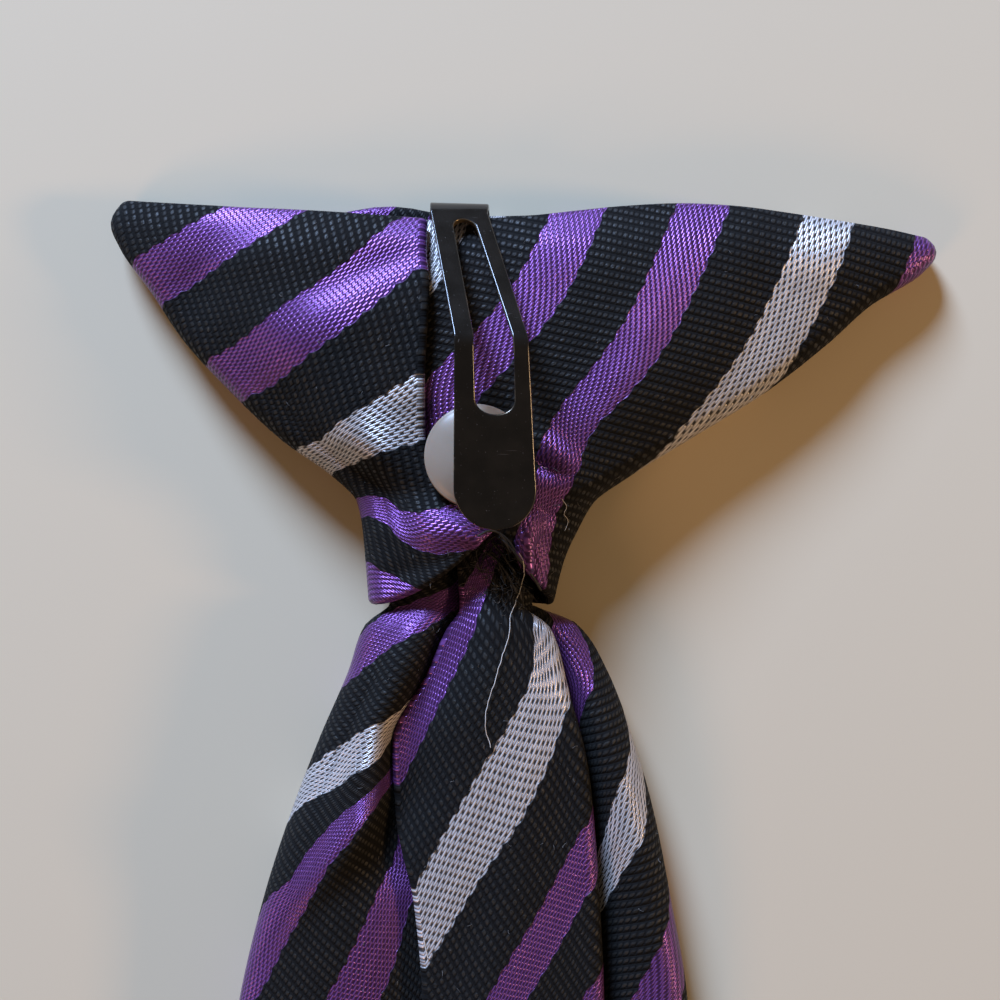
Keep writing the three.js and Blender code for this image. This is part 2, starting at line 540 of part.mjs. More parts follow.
// The clip: one strip of spring steel, bent over the knot's top edge. Its middle third is left out along
// the slot and round the rivet's hole.
function clip() {
  const { profile, kneeRun } = clipProfile();
  const rows = profile.map((point) => {
    const { half, gap, open } = clipWidths(point, kneeRun);
    return { corners: clipCorners(point, half, gap), open };
  });
  const position = rows.flatMap((row) => row.corners).flat();
  const index = [];
  const quad = (a, b, c, d) => index.push(a, b, c, a, c, d);
  const filled = (i, column) => {
    if (!rows[i] || !rows[i + 1] || column < 0 || column > 2) return false;
    return column !== 1 || !rows[i].open || !rows[i + 1].open;
  };
  rows.forEach((_, i) => {
    const [a, b] = [8 * i, 8 * (i + 1)];
    for (const column of [0, 1, 2]) {
      const [low, high] = [column, column + 1];
      if (filled(i, column)) {
        quad(a + low, a + high, b + high, b + low);
        quad(a + 4 + low, b + 4 + low, b + 4 + high, a + 4 + high);
        if (!filled(i, column - 1)) quad(a + low, b + low, b + 4 + low, a + 4 + low);
        if (!filled(i, column + 1)) quad(a + high, a + 4 + high, b + 4 + high, b + high);
      }
      if (filled(i, column) && !filled(i - 1, column)) quad(a + low, a + 4 + low, a + 4 + high, a + high);
      if (!filled(i, column) && filled(i - 1, column)) quad(a + low, a + high, a + 4 + high, a + 4 + low);
    }
  });
  return meshOf(position, index);
}

// The rivet: a moulded button with a low dome, whose stem goes through the right flap and the clip's leg to
// a foot.
function rivet() {
  const { radius, seat, dome, stem, foot, footLow } = RIVET;
  const top = seat + dome;
  const shoulder = seat + 2 * RIM;
  const profile = [
    [0, footLow],
    [foot, footLow],
    [foot, footLow + FOOT_HEIGHT],
    [stem, footLow + FOOT_HEIGHT + FOOT_SLOPE],
    [stem, seat],
    [radius - RIM, seat],
    [radius, seat + RIM],
    ...[1, 0.9, 0.7, 0.4, 0].map((share) => [
      (radius - RIM / 3) * share,
      shoulder + (top - shoulder) * Math.sqrt(1 - share ** 2),
    ]),
  ].map(([r, z]) => new THREE.Vector2(r, z));
  const geometry = new THREE.LatheGeometry(profile, ROUND_SIDES);
  geometry.rotateX(Math.PI / 2);
  geometry.translate(RIVET.x, RIVET.y, 0);
  return geometry;
}

const STRIPED_SATIN = new THREE.MeshStandardMaterial({ color: 0x1d1722, roughness: 0.55, metalness: 0 });
const BLACK_STEEL = new THREE.MeshStandardMaterial({ color: 0x15130f, roughness: 0.22, metalness: 0.6 });
const IVORY_PLASTIC = new THREE.MeshStandardMaterial({ color: 0xe4dfd3, roughness: 0.35, metalness: 0 });

function piece(name, geometry, material) {
  const mesh = new THREE.Mesh(geometry, material);
  mesh.name = name;
  return mesh;
}

const tie = new THREE.Group();
tie.add(piece("knot_wrap", knotWrap(), STRIPED_SATIN));
tie.add(piece("blade", blade(), STRIPED_SATIN));
tie.add(piece("clip", clip(), BLACK_STEEL));
tie.add(piece("rivet", rivet(), IVORY_PLASTIC));

const box = new THREE.Box3().setFromObject(tie);
const middle = box.getCenter(new THREE.Vector3());
tie.position.set(-middle.x, -middle.y, -box.min.z);

export default tie;
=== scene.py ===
"""Clip-on tie lying face down: its folded knot, its pleated blade, the spring clip and the rivet."""
import math

import bmesh
import bpy
import numpy as np
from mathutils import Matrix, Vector, noise


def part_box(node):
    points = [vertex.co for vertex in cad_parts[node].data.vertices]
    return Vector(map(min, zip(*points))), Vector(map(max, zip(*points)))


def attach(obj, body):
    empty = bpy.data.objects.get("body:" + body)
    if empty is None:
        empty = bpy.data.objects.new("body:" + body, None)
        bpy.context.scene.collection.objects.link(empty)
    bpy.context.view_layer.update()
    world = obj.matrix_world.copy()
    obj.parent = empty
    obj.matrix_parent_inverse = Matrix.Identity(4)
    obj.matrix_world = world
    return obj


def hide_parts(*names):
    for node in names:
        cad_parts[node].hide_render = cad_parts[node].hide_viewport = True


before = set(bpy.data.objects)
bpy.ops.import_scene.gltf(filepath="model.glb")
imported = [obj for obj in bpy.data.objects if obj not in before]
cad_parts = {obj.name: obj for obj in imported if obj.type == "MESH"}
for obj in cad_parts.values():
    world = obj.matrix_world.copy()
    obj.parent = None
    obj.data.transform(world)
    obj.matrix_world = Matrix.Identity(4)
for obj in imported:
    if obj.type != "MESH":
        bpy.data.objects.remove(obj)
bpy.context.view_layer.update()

# Viewpoint and studio
# The tie lies on a pale table and is looked at from straight above, from a hand's length away. One big cool
# light stands beyond the knot, and two weak warm ones fill in from the left and the right.
MM = 0.001
RIVET_AT = (-2.1, 3.9)  # where the rivet is from the working origin that all sizes below are read from, in mm
rivet_low, rivet_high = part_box("rivet")
ORIGIN = np.array([
    (rivet_low.x + rivet_high.x) / 2 - RIVET_AT[0] * MM,
    (rivet_low.y + rivet_high.y) / 2 - RIVET_AT[1] * MM,
    0.0,
])


def placed(points):
    """Points in mm from the working origin, as metres in the part's frame."""
    return np.asarray(points, float) * MM + ORIGIN


def put(name, data):
    """A new object of the scene that shows some data."""
    made = bpy.data.objects.new(name, data)
    bpy.context.scene.collection.objects.link(made)
    return made


CAMERA_HEIGHT = 157.0  # mm above the table
FIELD = 90.9  # mm across the view at FIELD_AT
FIELD_AT = 7.0

camera = put("camera", bpy.data.cameras.new("camera"))
camera.location = placed((0, 0, CAMERA_HEIGHT))
camera.data.angle = 2 * math.atan(FIELD / 2 / (CAMERA_HEIGHT - FIELD_AT))
camera.data.clip_start = 0.005
bpy.context.scene.camera = camera


def soft_light(name, place, towards, size, watts, colour):
    data = bpy.data.lights.new(name, "AREA")
    data.shape = "DISK"
    data.size = size
    data.energy = watts
    data.color = colour
    light = put(name, data)
    light.location = place
    light.rotation_euler = (Vector(towards) - Vector(place)).to_track_quat("-Z", "Y").to_euler()


KNOT_MIDDLE = tuple(placed((0, 0, 0)))
soft_light("cool_key", (-0.32, ORIGIN[1] + 0.80, 0.44), KNOT_MIDDLE, 0.34, 28.0, (0.45, 0.63, 1.0))
soft_light("warm_fill", (-0.60, ORIGIN[1] - 0.60, 0.50), KNOT_MIDDLE, 0.30, 2.2, (1.0, 0.56, 0.30))
soft_light("warm_rim", (0.75, ORIGIN[1] - 0.10, 0.30), KNOT_MIDDLE, 0.12, 3.2, (1.0, 0.62, 0.32))

world = bpy.data.worlds.new("studio")
world.use_nodes = True
world.node_tree.nodes["Background"].inputs["Color"].default_value = (1.0, 0.82, 0.60, 1)
world.node_tree.nodes["Background"].inputs["Strength"].default_value = 0.11
bpy.context.scene.world = world
bpy.context.scene.view_settings.view_transform = "Standard"

TABLE_HALF = 1.5
TABLE_TOP = -0.00005
table_mesh = bpy.data.meshes.new("table")
table_corners = [(x * TABLE_HALF, y * TABLE_HALF, TABLE_TOP) for x, y in ((-1, -1), (1, -1), (1, 1), (-1, 1))]
table_mesh.from_pydata(table_corners, [], [(0, 1, 2, 3)])
table = put("table", table_mesh)
table_paint = bpy.data.materials.new("pale_table")
table_paint.use_nodes = True
shader = table_paint.node_tree.nodes["Principled BSDF"]
shader.inputs["Base Color"].default_value = (0.545, 0.465, 0.325, 1)
shader.inputs["Roughness"].default_value = 0.8
table_mesh.materials.append(table_paint)

# Knot
# A wide triangle of satin woven of black, white and purple yarn. One length of it is folded round so that its
# two back flaps lap over each other, and it is gathered into a neck at its lower end. Its top edge is open.
CLOTH = 1.2  # mm through one wall
# Each row is a section across the knot, from the open top edge down. y is its height in the middle, y_left
# and y_right at the ears, r_ the radius of an ear's fold and z_ the height of a crown. lap is the left flap's
# free edge, under the right flap's hidden one, and lift how far the gather pulls their ends up.
KNOT_COLUMNS = (
    "y", "y_left", "y_right", "left", "right", "r_left", "r_right",
    "z_left", "z_right", "lap", "z_lap", "under", "z_under", "lift",
)
KNOT_ROWS = (
    (26.9, 28.0, 24.2, -35.3, 40.1, 1.2, 1.0, 6.0, 5.7, -7.1, 7.1, -10.5, 5.4, -1.5),
    (25.0, 26.0, 23.1, -36.5, 41.0, 1.5, 1.2, 6.8, 6.5, -7.2, 7.8, -11.0, 6.0, -0.7),
    (22.8, 24.0, 21.6, -35.7, 39.8, 1.7, 1.4, 7.6, 7.4, -7.2, 8.6, -11.4, 6.7, -0.2),
    (19.0, 19.6, 18.6, -32.6, 34.9, 2.0, 1.8, 8.6, 8.1, -6.9, 9.4, -11.8, 7.4, 0.0),
    (15.0, 15.3, 15.0, -29.7, 30.8, 2.2, 2.1, 9.2, 8.4, -7.1, 9.7, -12.0, 7.7, 0.0),
    (10.5, 10.5, 10.5, -25.3, 25.0, 2.5, 2.4, 9.4, 8.5, -7.3, 9.6, -11.6, 7.6, 0.0),
    (6.0, 6.0, 6.0, -20.5, 17.7, 2.8, 2.7, 9.3, 8.5, -7.3, 8.8, -10.6, 7.2, 0.0),
    (2.4, 2.4, 2.4, -15.5, 11.9, 3.0, 3.2, 8.8, 8.5, -5.9, 8.4, -8.6, 6.9, 0.4),
    (0.2, 0.2, 0.2, -13.4, 8.9, 3.1, 3.4, 8.6, 8.6, -4.8, 8.4, -7.0, 7.2, 1.0),
    (-2.4, -2.4, -2.4, -12.8, 7.4, 3.1, 3.5, 8.9, 8.8, -3.2, 9.0, -4.8, 7.6, 2.2),
    (-5.6, -5.6, -5.6, -12.5, 6.0, 3.1, 3.4, 8.8, 8.7, -1.9, 9.2, -1.6, 8.0, 4.4),
    (-9.7, -9.7, -9.7, -12.2, 5.0, 3.0, 3.4, 8.6, 8.5, -0.9, 8.6, -0.1, 8.2, 6.7),
)
LEFT_SWAG = 1.8  # how late the left flap's edge climbs to the gather
RIGHT_SWAG = 1.1
EAR_DROOP = 4  # how close to its tip an ear droops
CRESTS = (
    # waves of the open top edge: place along x, reach to both sides, rise, only the front layer
    (16.5, 16.0, 0.95, False),
    (-10.5, 6.5, 0.9, True),
)
CREST_LOW = 19.0  # height from which the waves grow to the top edge
SHOULDER = math.radians(72)  # where a flap leaves its round side fold
ROW_STEP = 0.45  # mm between the rows of the mesh
EDGE_ROWS = (0.0, 0.04, 0.12, 0.24, 0.40, 0.60)  # extra rows that round a cut end of the cloth
EDGE_LEAST = 0.02  # keeps the cut end from closing to nothing
RIGHT_RISE_STEPS = 44  # steps of a section from the right flap's hidden end to its crown
RIGHT_FALL_STEPS = 40
FOLD_STEPS = 10
FRONT_STEPS = 40
LEFT_STEPS = 32  # from the left side fold to the left flap's crown, and from there to its free edge


def mix(a, b, share):
    return a + (b - a) * share


def table_reader(columns, rows):
    """Reads a table at any value of its first column, with smooth curves that never overshoot the rows."""
    keys = np.array([row[0] for row in rows], float)
    values = np.array(rows, float)
    steps = np.diff(keys)
    rates = np.diff(values, axis=0) / steps[:, None]
    slopes = np.empty_like(values)
    slopes[0], slopes[-1] = rates[0], rates[-1]
    before, after = rates[:-1], rates[1:]
    first = (2 * steps[1:] + steps[:-1])[:, None]
    second = (steps[1:] + 2 * steps[:-1])[:, None]
    rising = before * after > 0
    safe_before = np.where(rising, before, 1)
    safe_after = np.where(rising, after, 1)
    slopes[1:-1] = np.where(rising, (first + second) / (first / safe_before + second / safe_after), 0)

    def read(key):
        i = int(np.clip(np.searchsorted(-keys, -key, side="right") - 1, 0, len(steps) - 1))
        t = (key - keys[i]) / steps[i]
        made = (
            values[i] * (1 + 2 * t) * (1 - t) ** 2
            + values[i + 1] * t * t * (3 - 2 * t)
            + slopes[i] * steps[i] * t * (1 - t) ** 2
            - slopes[i + 1] * steps[i] * t * t * (1 - t)
        )
        return dict(zip(columns, made))

    return read


class SectionPath:
    """A section's path through the middle of the cloth, in x and z, with named stretches."""

    def __init__(self, x, z, stretch):
        self.points = [(x, z)]
        self.stretches = [stretch]

    def bend_to(self, x, z, leaving, arriving, steps, stretch):
        x0, z0 = self.points[-1]
        reach = math.hypot(x - x0, z - z0) / 3
        knots = np.array([
            (x0, z0),
            (x0 + reach * math.cos(leaving), z0 + reach * math.sin(leaving)),
            (x - reach * math.cos(arriving), z - reach * math.sin(arriving)),
            (x, z),
        ])
        t = np.linspace(0, 1, steps + 1)[1:, None]
        weights = ((1 - t) ** 3, 3 * t * (1 - t) ** 2, 3 * t * t * (1 - t), t ** 3)
        self.points += [tuple(p) for p in sum(w * k for w, k in zip(weights, knots))]
        self.stretches += [stretch] * steps

    def arc(self, x, z, radius, start, stop, steps, stretch):
        angles = np.linspace(start, stop, steps + 1)[1:]
        self.points += [(x + radius * math.cos(a), z + radius * math.sin(a)) for a in angles]
        self.stretches += [stretch] * steps


def heading(a, b):
    return math.atan2(b[1] - a[1], b[0] - a[0])


def shoulder_point(row, floor):
    x = row["right"] - CLOTH / 2 - row["r_right"] * (1 - math.cos(SHOULDER))
    return x, floor + row["r_right"] * (1 + math.sin(SHOULDER))


def wrap_front(path, row, floor, front_steps):
    """The right side fold, the front layer and the left side fold."""
    r_right, r_left = row["r_right"], row["r_left"]
    right = row["right"] - CLOTH / 2 - r_right
    left = row["left"] + CLOTH / 2 + r_left
    path.arc(right, floor + r_right, r_right, SHOULDER, -math.pi / 2, FOLD_STEPS, "right_fold")
    path.bend_to(left, floor, math.pi, math.pi, front_steps, "front")
    path.arc(left, floor + r_left, r_left, -math.pi / 2, -math.pi - SHOULDER, FOLD_STEPS, "left_fold")


def knot_section(row):
    """From the right flap's hidden end round to the left flap's free edge: points and names of stretches."""
    floor = CLOTH / 2
    shoulder = shoulder_point(row, floor)
    start = (row["under"], row["z_under"])
    crown = (mix(row["under"], row["right"], 0.5), row["z_right"])
    across = heading(start, shoulder)
    path = SectionPath(*start, "right_flap")
    path.bend_to(*crown, heading(start, crown), across, RIGHT_RISE_STEPS, "right_flap")
    path.bend_to(*shoulder, across, SHOULDER - math.pi / 2, RIGHT_FALL_STEPS, "right_flap")
    wrap_front(path, row, floor, FRONT_STEPS)
    rise = path.points[-1]
    end = (row["lap"], row["z_lap"])
    back = (mix(rise[0], end[0], 0.5), row["z_left"])
    path.bend_to(*back, math.pi / 2 - SHOULDER, heading(rise, end), LEFT_STEPS, "left_flap")
    path.bend_to(*end, heading(rise, end), heading(back, end), LEFT_STEPS, "left_flap")
    near_top = max(0, (row["y"] - CREST_LOW) / (KNOT_ROWS[0][0] - CREST_LOW))
    points = []
    for (x, z), stretch in zip(path.points, path.stretches):
        edge, edge_y = (row["left"], row["y_left"]) if x < 0 else (row["right"], row["y_right"])
        y = row["y"] + (edge_y - row["y"]) * abs(x / edge) ** EAR_DROOP
        for crest, reach, rise, front_only in CRESTS:
            off = min(1, abs(x - crest) / reach)
            if stretch == "front" or not front_only:
                y += rise * near_top * (1 - off ** 2) ** 2
        on_back = z > floor + (row["r_left"] if x < 0 else row["r_right"])
        if on_back and stretch.startswith("left"):
            y += row["lift"] * max(0, (x - row["left"]) / (row["lap"] - row["left"])) ** LEFT_SWAG
        if on_back and stretch.startswith("right"):
            y += row["lift"] * max(0, (row["right"] - x) / (row["right"] - row["under"])) ** RIGHT_SWAG
        points.append((x, y, z))
    return np.array(points), path.stretches


def row_heights(top, bottom, step):
    """Heights of a cloth's rows, closer together at its two cut ends, and the cloth's thickness at each."""
    inner = np.linspace(top - EDGE_ROWS[-1], bottom + EDGE_ROWS[-1], int((top - bottom) / step))
    heights = [top - d for d in EDGE_ROWS[:-1]] + list(inner) + [bottom + d for d in EDGE_ROWS[-2::-1]]
    radius = EDGE_ROWS[-1]
    depth = np.minimum(radius, np.minimum(top - np.array(heights), np.array(heights) - bottom))
    return heights, CLOTH * np.sqrt(np.maximum(EDGE_LEAST, 1 - (1 - depth / radius) ** 2))


def girth(points):
    """How far each point of each row is from the row's first point, along the cloth."""
    steps = np.linalg.norm(np.diff(points[:, :, [0, 2]], axis=1), axis=2)
    return np.concatenate([np.zeros((len(points), 1)), np.cumsum(steps, axis=1)], axis=1)


PLATE_UNIT = 10  # mm; keeps the numbers of the fit near one


def thin_plate(places, values, give):
    """A smooth sheet near values at places in a plane; give is how far it may miss them to stay smooth."""
    places = np.asarray(places, float) / PLATE_UNIT
    count = len(places)
    gaps = np.linalg.norm(places[:, None] - places[None], axis=2)
    bend = np.where(gaps > 0, gaps ** 2 * np.log(np.maximum(gaps, 1e-9)), 0)
    flat = np.column_stack([np.ones(count), places])
    system = np.block([[bend + np.eye(count) * give, flat], [flat.T, np.zeros((3, 3))]])
    weights = np.linalg.solve(system, np.concatenate([values, np.zeros(3)]))

    def read(u, v):
        u, v = u / PLATE_UNIT, v / PLATE_UNIT
        total = weights[count] + weights[count + 1] * u + weights[count + 2] * v
        for (pu, pv), weight in zip(places, weights[:count]):
            gap = np.maximum(np.hypot(u - pu, v - pv), 1e-9)
            total = total + weight * gap ** 2 * np.log(gap)
        return total

    return read


def across_from(around, points, column):
    """Distance across the cloth, counted so that it equals x at one column."""
    return points[:, [column], 0] + around - around[:, [column]]


def joined(values, around, first, last):
    """Fills the columns between two with values that change evenly along the cloth."""
    share = (around[:, first:last + 1] - around[:, [first]]) / (around[:, [last]] - around[:, [first]])
    values[:, first:last + 1] = mix(values[:, [first]], values[:, [last]], share)


BACK_LOW = 3.0  # height over the table from which the folds and waves grow
BACK_FULL = 6.0
WAVES = ((9.0, 0.16), (3.7, 0.06))  # length and depth of the soft waves all over the back


def creased(points, folds):
    """Raises and dents the cloth's back by its folds. Layers on each other move alike, so they stay apart."""
    x, y, z = points[:, :, 0], points[:, :, 1], points[:, :, 2]
    on_back = np.clip((z - BACK_LOW) / (BACK_FULL - BACK_LOW), 0, 1)
    moved = np.zeros_like(z)
    for middle_x, middle_y, heading_degrees, length, width, rise in folds:
        turn = math.radians(heading_degrees)
        along = (x - middle_x) * math.cos(turn) + (y - middle_y) * math.sin(turn)
        aside = (y - middle_y) * math.cos(turn) - (x - middle_x) * math.sin(turn)
        moved += rise * np.exp(-(along / length) ** 2 - (aside / width) ** 2)
    for wave, depth in WAVES:
        spots = np.stack([x / wave, y / wave, np.full_like(x, wave)], -1).reshape(-1, 3)
        moved += depth * np.array([noise.noise(Vector(spot)) for spot in spots]).reshape(x.shape)
    points[:, :, 2] += moved * on_back


STRIPE_PITCH = 10.4  # mm from stripe to stripe across the cloth
STRIPE_HALF = 2.15
EDGE_ANGLES = np.radians((30, 60, 90, 120, 150))  # points of a free edge's round


def cloth_mesh(name, points, thickness, weave):
    """A closed wall of cloth round a grid of middle points, with round free edges. weave is its UV map."""
    rows, columns = points.shape[:2]
    along = np.gradient(points, axis=1)
    down = np.gradient(points, axis=0)
    normal = np.cross(down, along)
    normal /= np.maximum(np.linalg.norm(normal, axis=2, keepdims=True), 1e-9)
    half = thickness[:, None, None] / 2
    steps = len(EDGE_ANGLES)
    ends = []
    for column, sign in ((-1, 1), (0, -1)):
        outward = along[:, column] * sign
        outward /= np.maximum(np.linalg.norm(outward, axis=1, keepdims=True), 1e-9)
        for angle in EDGE_ANGLES:
            away = normal[:, column] * (math.cos(angle) * sign) + outward * math.sin(angle)
            ends.append(points[:, column] + away * half[:, 0])
    outer = points + normal * half
    inner = (points - normal * half)[:, ::-1]
    loop = np.concatenate([outer, np.stack(ends[:steps], 1), inner, np.stack(ends[steps:], 1)], axis=1)
    wrapped = np.concatenate([
        weave, np.repeat(weave[:, -1:], steps, 1), weave[:, ::-1], np.repeat(weave[:, :1], steps, 1),
    ], axis=1)
    around = loop.shape[1]
    i, j = np.meshgrid(np.arange(rows - 1), np.arange(around), indexing="ij")
    k = (j + 1) % around
    square = (i * around + j, i * around + k, (i + 1) * around + k, (i + 1) * around + j)
    quads = np.stack(square, -1).reshape(-1, 4)
    caps = []
    last = (rows - 1) * around
    for a in range(columns - 1):
        b, d, e = a + 1, 2 * columns + steps - 1 - a, 2 * columns + steps - 2 - a
        caps.append((a, d, e, b))
        caps.append((last + a, last + b, last + e, last + d))
    right = [columns - 1 + n for n in range(steps + 2)]
    left = [2 * columns + steps - 1 + n for n in range(steps + 1)] + [0]
    for rim, base in ((right, 0), (left, 0), (right, last), (left, last)):
        face = [base + n for n in rim]
        caps.append(tuple(face if base else face[::-1]))
    mesh = bpy.data.meshes.new(name)
    mesh.from_pydata(placed(loop.reshape(-1, 3)).tolist(), [], quads[:, ::-1].tolist() + caps)
    uv = mesh.uv_layers.new(name="weave")
    corners = np.zeros(len(mesh.loops), np.int32)
    mesh.loops.foreach_get("vertex_index", corners)
    uv.data.foreach_set("uv", wrapped.reshape(-1, 2)[corners].astype(np.float32).ravel())
    mesh.shade_smooth()
    return put(name, mesh)


VIEW = 1000  # the width and height of the frame that spots of the view are given in
KNOT_BACK = 9.0  # height of the cloth that they are seen on


def seen(px, py, z):
    """Where a spot of the view lies at height z, in mm."""
    scale = (CAMERA_HEIGHT - z) / (CAMERA_HEIGHT - FIELD_AT) * FIELD / VIEW
    return (px - VIEW / 2) * scale, (VIEW / 2 - py) * scale


# Where the stripes run: the numbers of each region's stripes, with spots of the view on them. Every third one
# is white. A whole number is a stripe's middle, and its edges are HALF away.
HALF = STRIPE_HALF / STRIPE_PITCH
KNOT_MARKS = {
    "left_flap": (
        (-2, ((150, 266), (200, 240), (258, 212))),
        (-1, ((222, 371), (290, 334), (350, 294), (412, 240))),
        (0, ((318, 456), (360, 434), (412, 410))),
        (1 - HALF, ((364, 500), (396, 519), (424, 514), (450, 506))),
        (1 + HALF, ((364, 508), (388, 524), (410, 543), (438, 553), (466, 545))),
        (1, ((484, 531),)),
        (2 - HALF, ((368, 566), (424, 592))),
    ),
    "right_flap": (
        (0, ((433, 258),)),
        (HALF, ((437, 285), (461, 235))),
        (1, ((580, 211), (542, 288), (490, 350), (438, 402))),
        (2, ((704, 207), (676, 270), (644, 335), (602, 392))),
        (2 - HALF, ((551, 425), (538, 452), (536, 484), (530, 505), (521, 523), (513, 534), (526, 562))),
        (2 + HALF, (
            (597, 420), (580, 453), (577, 473), (567, 493),
            (556, 508), (554, 530), (557, 552), (564, 575),
        )),
        (3, ((834, 222), (811, 282), (779, 344), (741, 400), (708, 440))),
        (4 - HALF, ((925, 250),)),
    ),
}
KNOT_FOLDS = (
    # x, y, heading in degrees, length, width, rise
    (4.8, 4.4, -40, 3.2, 0.9, 0.70),
    (4.0, 2.9, -35, 2.0, 0.6, -0.50),
    (5.6, 1.5, -10, 2.8, 0.8, 0.50),
    (3.6, -0.9, -20, 4.0, 0.9, -0.40),
    (2.9, -4.2, 100, 4.5, 0.8, 0.35),
    (1.4, -3.4, 70, 3.5, 0.6, -0.30),
    (12.0, 13.0, 62, 9.0, 2.5, 0.45),
    (21.0, 12.0, 48, 9.0, 2.6, -0.35),
    (-5.6, -2.7, 0, 5.0, 1.3, 0.55),
    (-9.2, 1.4, -22, 5.0, 1.6, -0.55),
    (-7.6, -6.3, 15, 4.5, 1.1, -0.40),
    (-2.2, -3.6, 150, 2.2, 0.45, 0.30),
    (-2.6, -5.0, 25, 2.2, 0.45, 0.25),
    (-17.0, 14.5, 30, 10.0, 2.6, 0.45),
    (-27.5, 20.0, 55, 5.0, 2.6, -0.60),
    (-12.0, 20.5, 20, 6.0, 1.8, -0.50),
    (-21.0, 22.5, 12, 6.0, 1.8, 0.45),
    (30.0, 20.5, 75, 6.0, 2.2, 0.40),
    (24.0, 20.0, 75, 6.0, 2.0, -0.35),
)
RIGHT_LEAN = math.radians(12)  # how far from level the ribs of the weave run on the right flap
LEFT_LEAN = math.radians(74)


def marks_of(marks, z):
    """Places and stripe numbers of one region's marks."""
    places = [seen(px, py, z) for number, spots in marks for px, py in spots]
    numbers = [number for number, spots in marks for spot in spots]
    return np.array(places), np.array(numbers, float)


read_knot = table_reader(KNOT_COLUMNS, KNOT_ROWS)
heights, knot_thickness = row_heights(KNOT_ROWS[0][0], KNOT_ROWS[-1][0], ROW_STEP)
sections = [knot_section(read_knot(y)) for y in heights]
knot_points = np.stack([points for points, _ in sections])
stretches = np.array(sections[0][1])
around = girth(knot_points)
knot_y = knot_points[:, :, 1]
columns = np.arange(len(stretches))
right_turn = int(np.flatnonzero(stretches == "right_fold")[FOLD_STEPS // 2 - 1])
left_turn = int(np.flatnonzero(stretches == "left_fold")[FOLD_STEPS // 2])
right_spread = across_from(around, knot_points, RIGHT_RISE_STEPS)
left_spread = across_from(around, knot_points, -1 - LEFT_STEPS)
on_right = columns <= right_turn
knot_along = np.where(
    on_right,
    right_spread * math.sin(RIGHT_LEAN) + knot_y * math.cos(RIGHT_LEAN),
    left_spread * math.sin(LEFT_LEAN) + knot_y * math.cos(LEFT_LEAN),
)
joined(knot_along, around, right_turn, left_turn)
STRIPE_GIVE = 0.05
right_sheet = thin_plate(*marks_of(KNOT_MARKS["right_flap"], KNOT_BACK), STRIPE_GIVE)
left_sheet = thin_plate(*marks_of(KNOT_MARKS["left_flap"], KNOT_BACK), STRIPE_GIVE)
knot_stripes = np.where(on_right, right_sheet(right_spread, knot_y), left_sheet(left_spread, knot_y))
joined(knot_stripes, around, right_turn, left_turn)
LINING_X = -11.0  # where the front layer shows a purple stripe over the left flap's edge
LINING_REACH = 9.0
in_front = columns[(columns > right_turn) & (columns < left_turn)]
lining = in_front[np.argmin(np.abs(knot_points[0, in_front, 0] - LINING_X))]
wanted = 3 * round(float(knot_stripes[0, lining]) / 3 - 0.5) + 1
nearness = np.exp(-((knot_points[:, in_front, 0] - LINING_X) / LINING_REACH) ** 2)
knot_stripes[:, in_front] += (wanted - knot_stripes[0, lining]) * nearness
creased(knot_points, KNOT_FOLDS)
knot_weave = np.stack([knot_along, knot_stripes * STRIPE_PITCH], -1)
knot = cloth_mesh("knot_cloth", knot_points, knot_thickness, knot_weave)


class Wiring:
    """Short words for the nodes of one tree."""

    def __init__(self, tree):
        self.tree = tree

    def node(self, kind, **settings):
        made = self.tree.nodes.new(kind)
        for key, value in settings.items():
            setattr(made, key, value)
        return made

    def feed(self, socket, value):
        if isinstance(value, bpy.types.NodeSocket):
            self.tree.links.new(value, socket)
        else:
            socket.default_value = value

    def fed(self, kind, inputs, **settings):
        """A new node with some of its inputs fed, each by its name or number."""
        made = self.node(kind, **settings)
        for label, value in inputs.items():
            self.feed(made.inputs[label], value)
        return made

    def math(self, operation, *values):
        return self.fed("ShaderNodeMath", dict(enumerate(values)), operation=operation).outputs[0]

    def times(self, a, b):
        return self.math("MULTIPLY", a, b)

    def plus(self, a, b):
        return self.math("ADD", a, b)

    def minus(self, a, b):
        return self.math("SUBTRACT", a, b)

    def over(self, a, b):
        return self.math("DIVIDE", a, b)

    def ramp(self, value, low, high, to_low=0.0, to_high=1.0, smooth=True):
        inputs = dict(enumerate((value, low, high, to_low, to_high)))
        kind = "SMOOTHSTEP" if smooth else "LINEAR"
        return self.fed("ShaderNodeMapRange", inputs, interpolation_type=kind).outputs[0]

    def pick(self, share, at_none, at_all):
        return self.ramp(share, 0.0, 1.0, at_none, at_all, smooth=False)

    def blend(self, share, a, b):
        return self.fed("ShaderNodeMix", {0: share, 6: a, 7: b}, data_type="RGBA").outputs[2]

    def mottle(self, vector, scale, detail=2.0):
        inputs = {"Vector": vector, "Scale": scale, "Detail": detail}
        return self.fed("ShaderNodeTexNoise", inputs).outputs[0]

    def bumps(self, height, distance, strength=1.0):
        inputs = {"Height": height, "Distance": distance, "Strength": strength}
        return self.fed("ShaderNodeBump", inputs).outputs[0]


def new_tree(kind, name, inputs, outputs):
    """A tree with named sockets, its wiring, what its inputs give and where its results go."""
    tree = bpy.data.node_groups.new(name, kind)
    for label, socket, *default in inputs:
        made = tree.interface.new_socket(label, in_out="INPUT", socket_type="NodeSocket" + socket)
        if default:
            made.default_value = default[0]
    for label, socket in outputs:
        tree.interface.new_socket(label, in_out="OUTPUT", socket_type="NodeSocket" + socket)
    w = Wiring(tree)
    return tree, w, w.node("NodeGroupInput").outputs, w.node("NodeGroupOutput").inputs


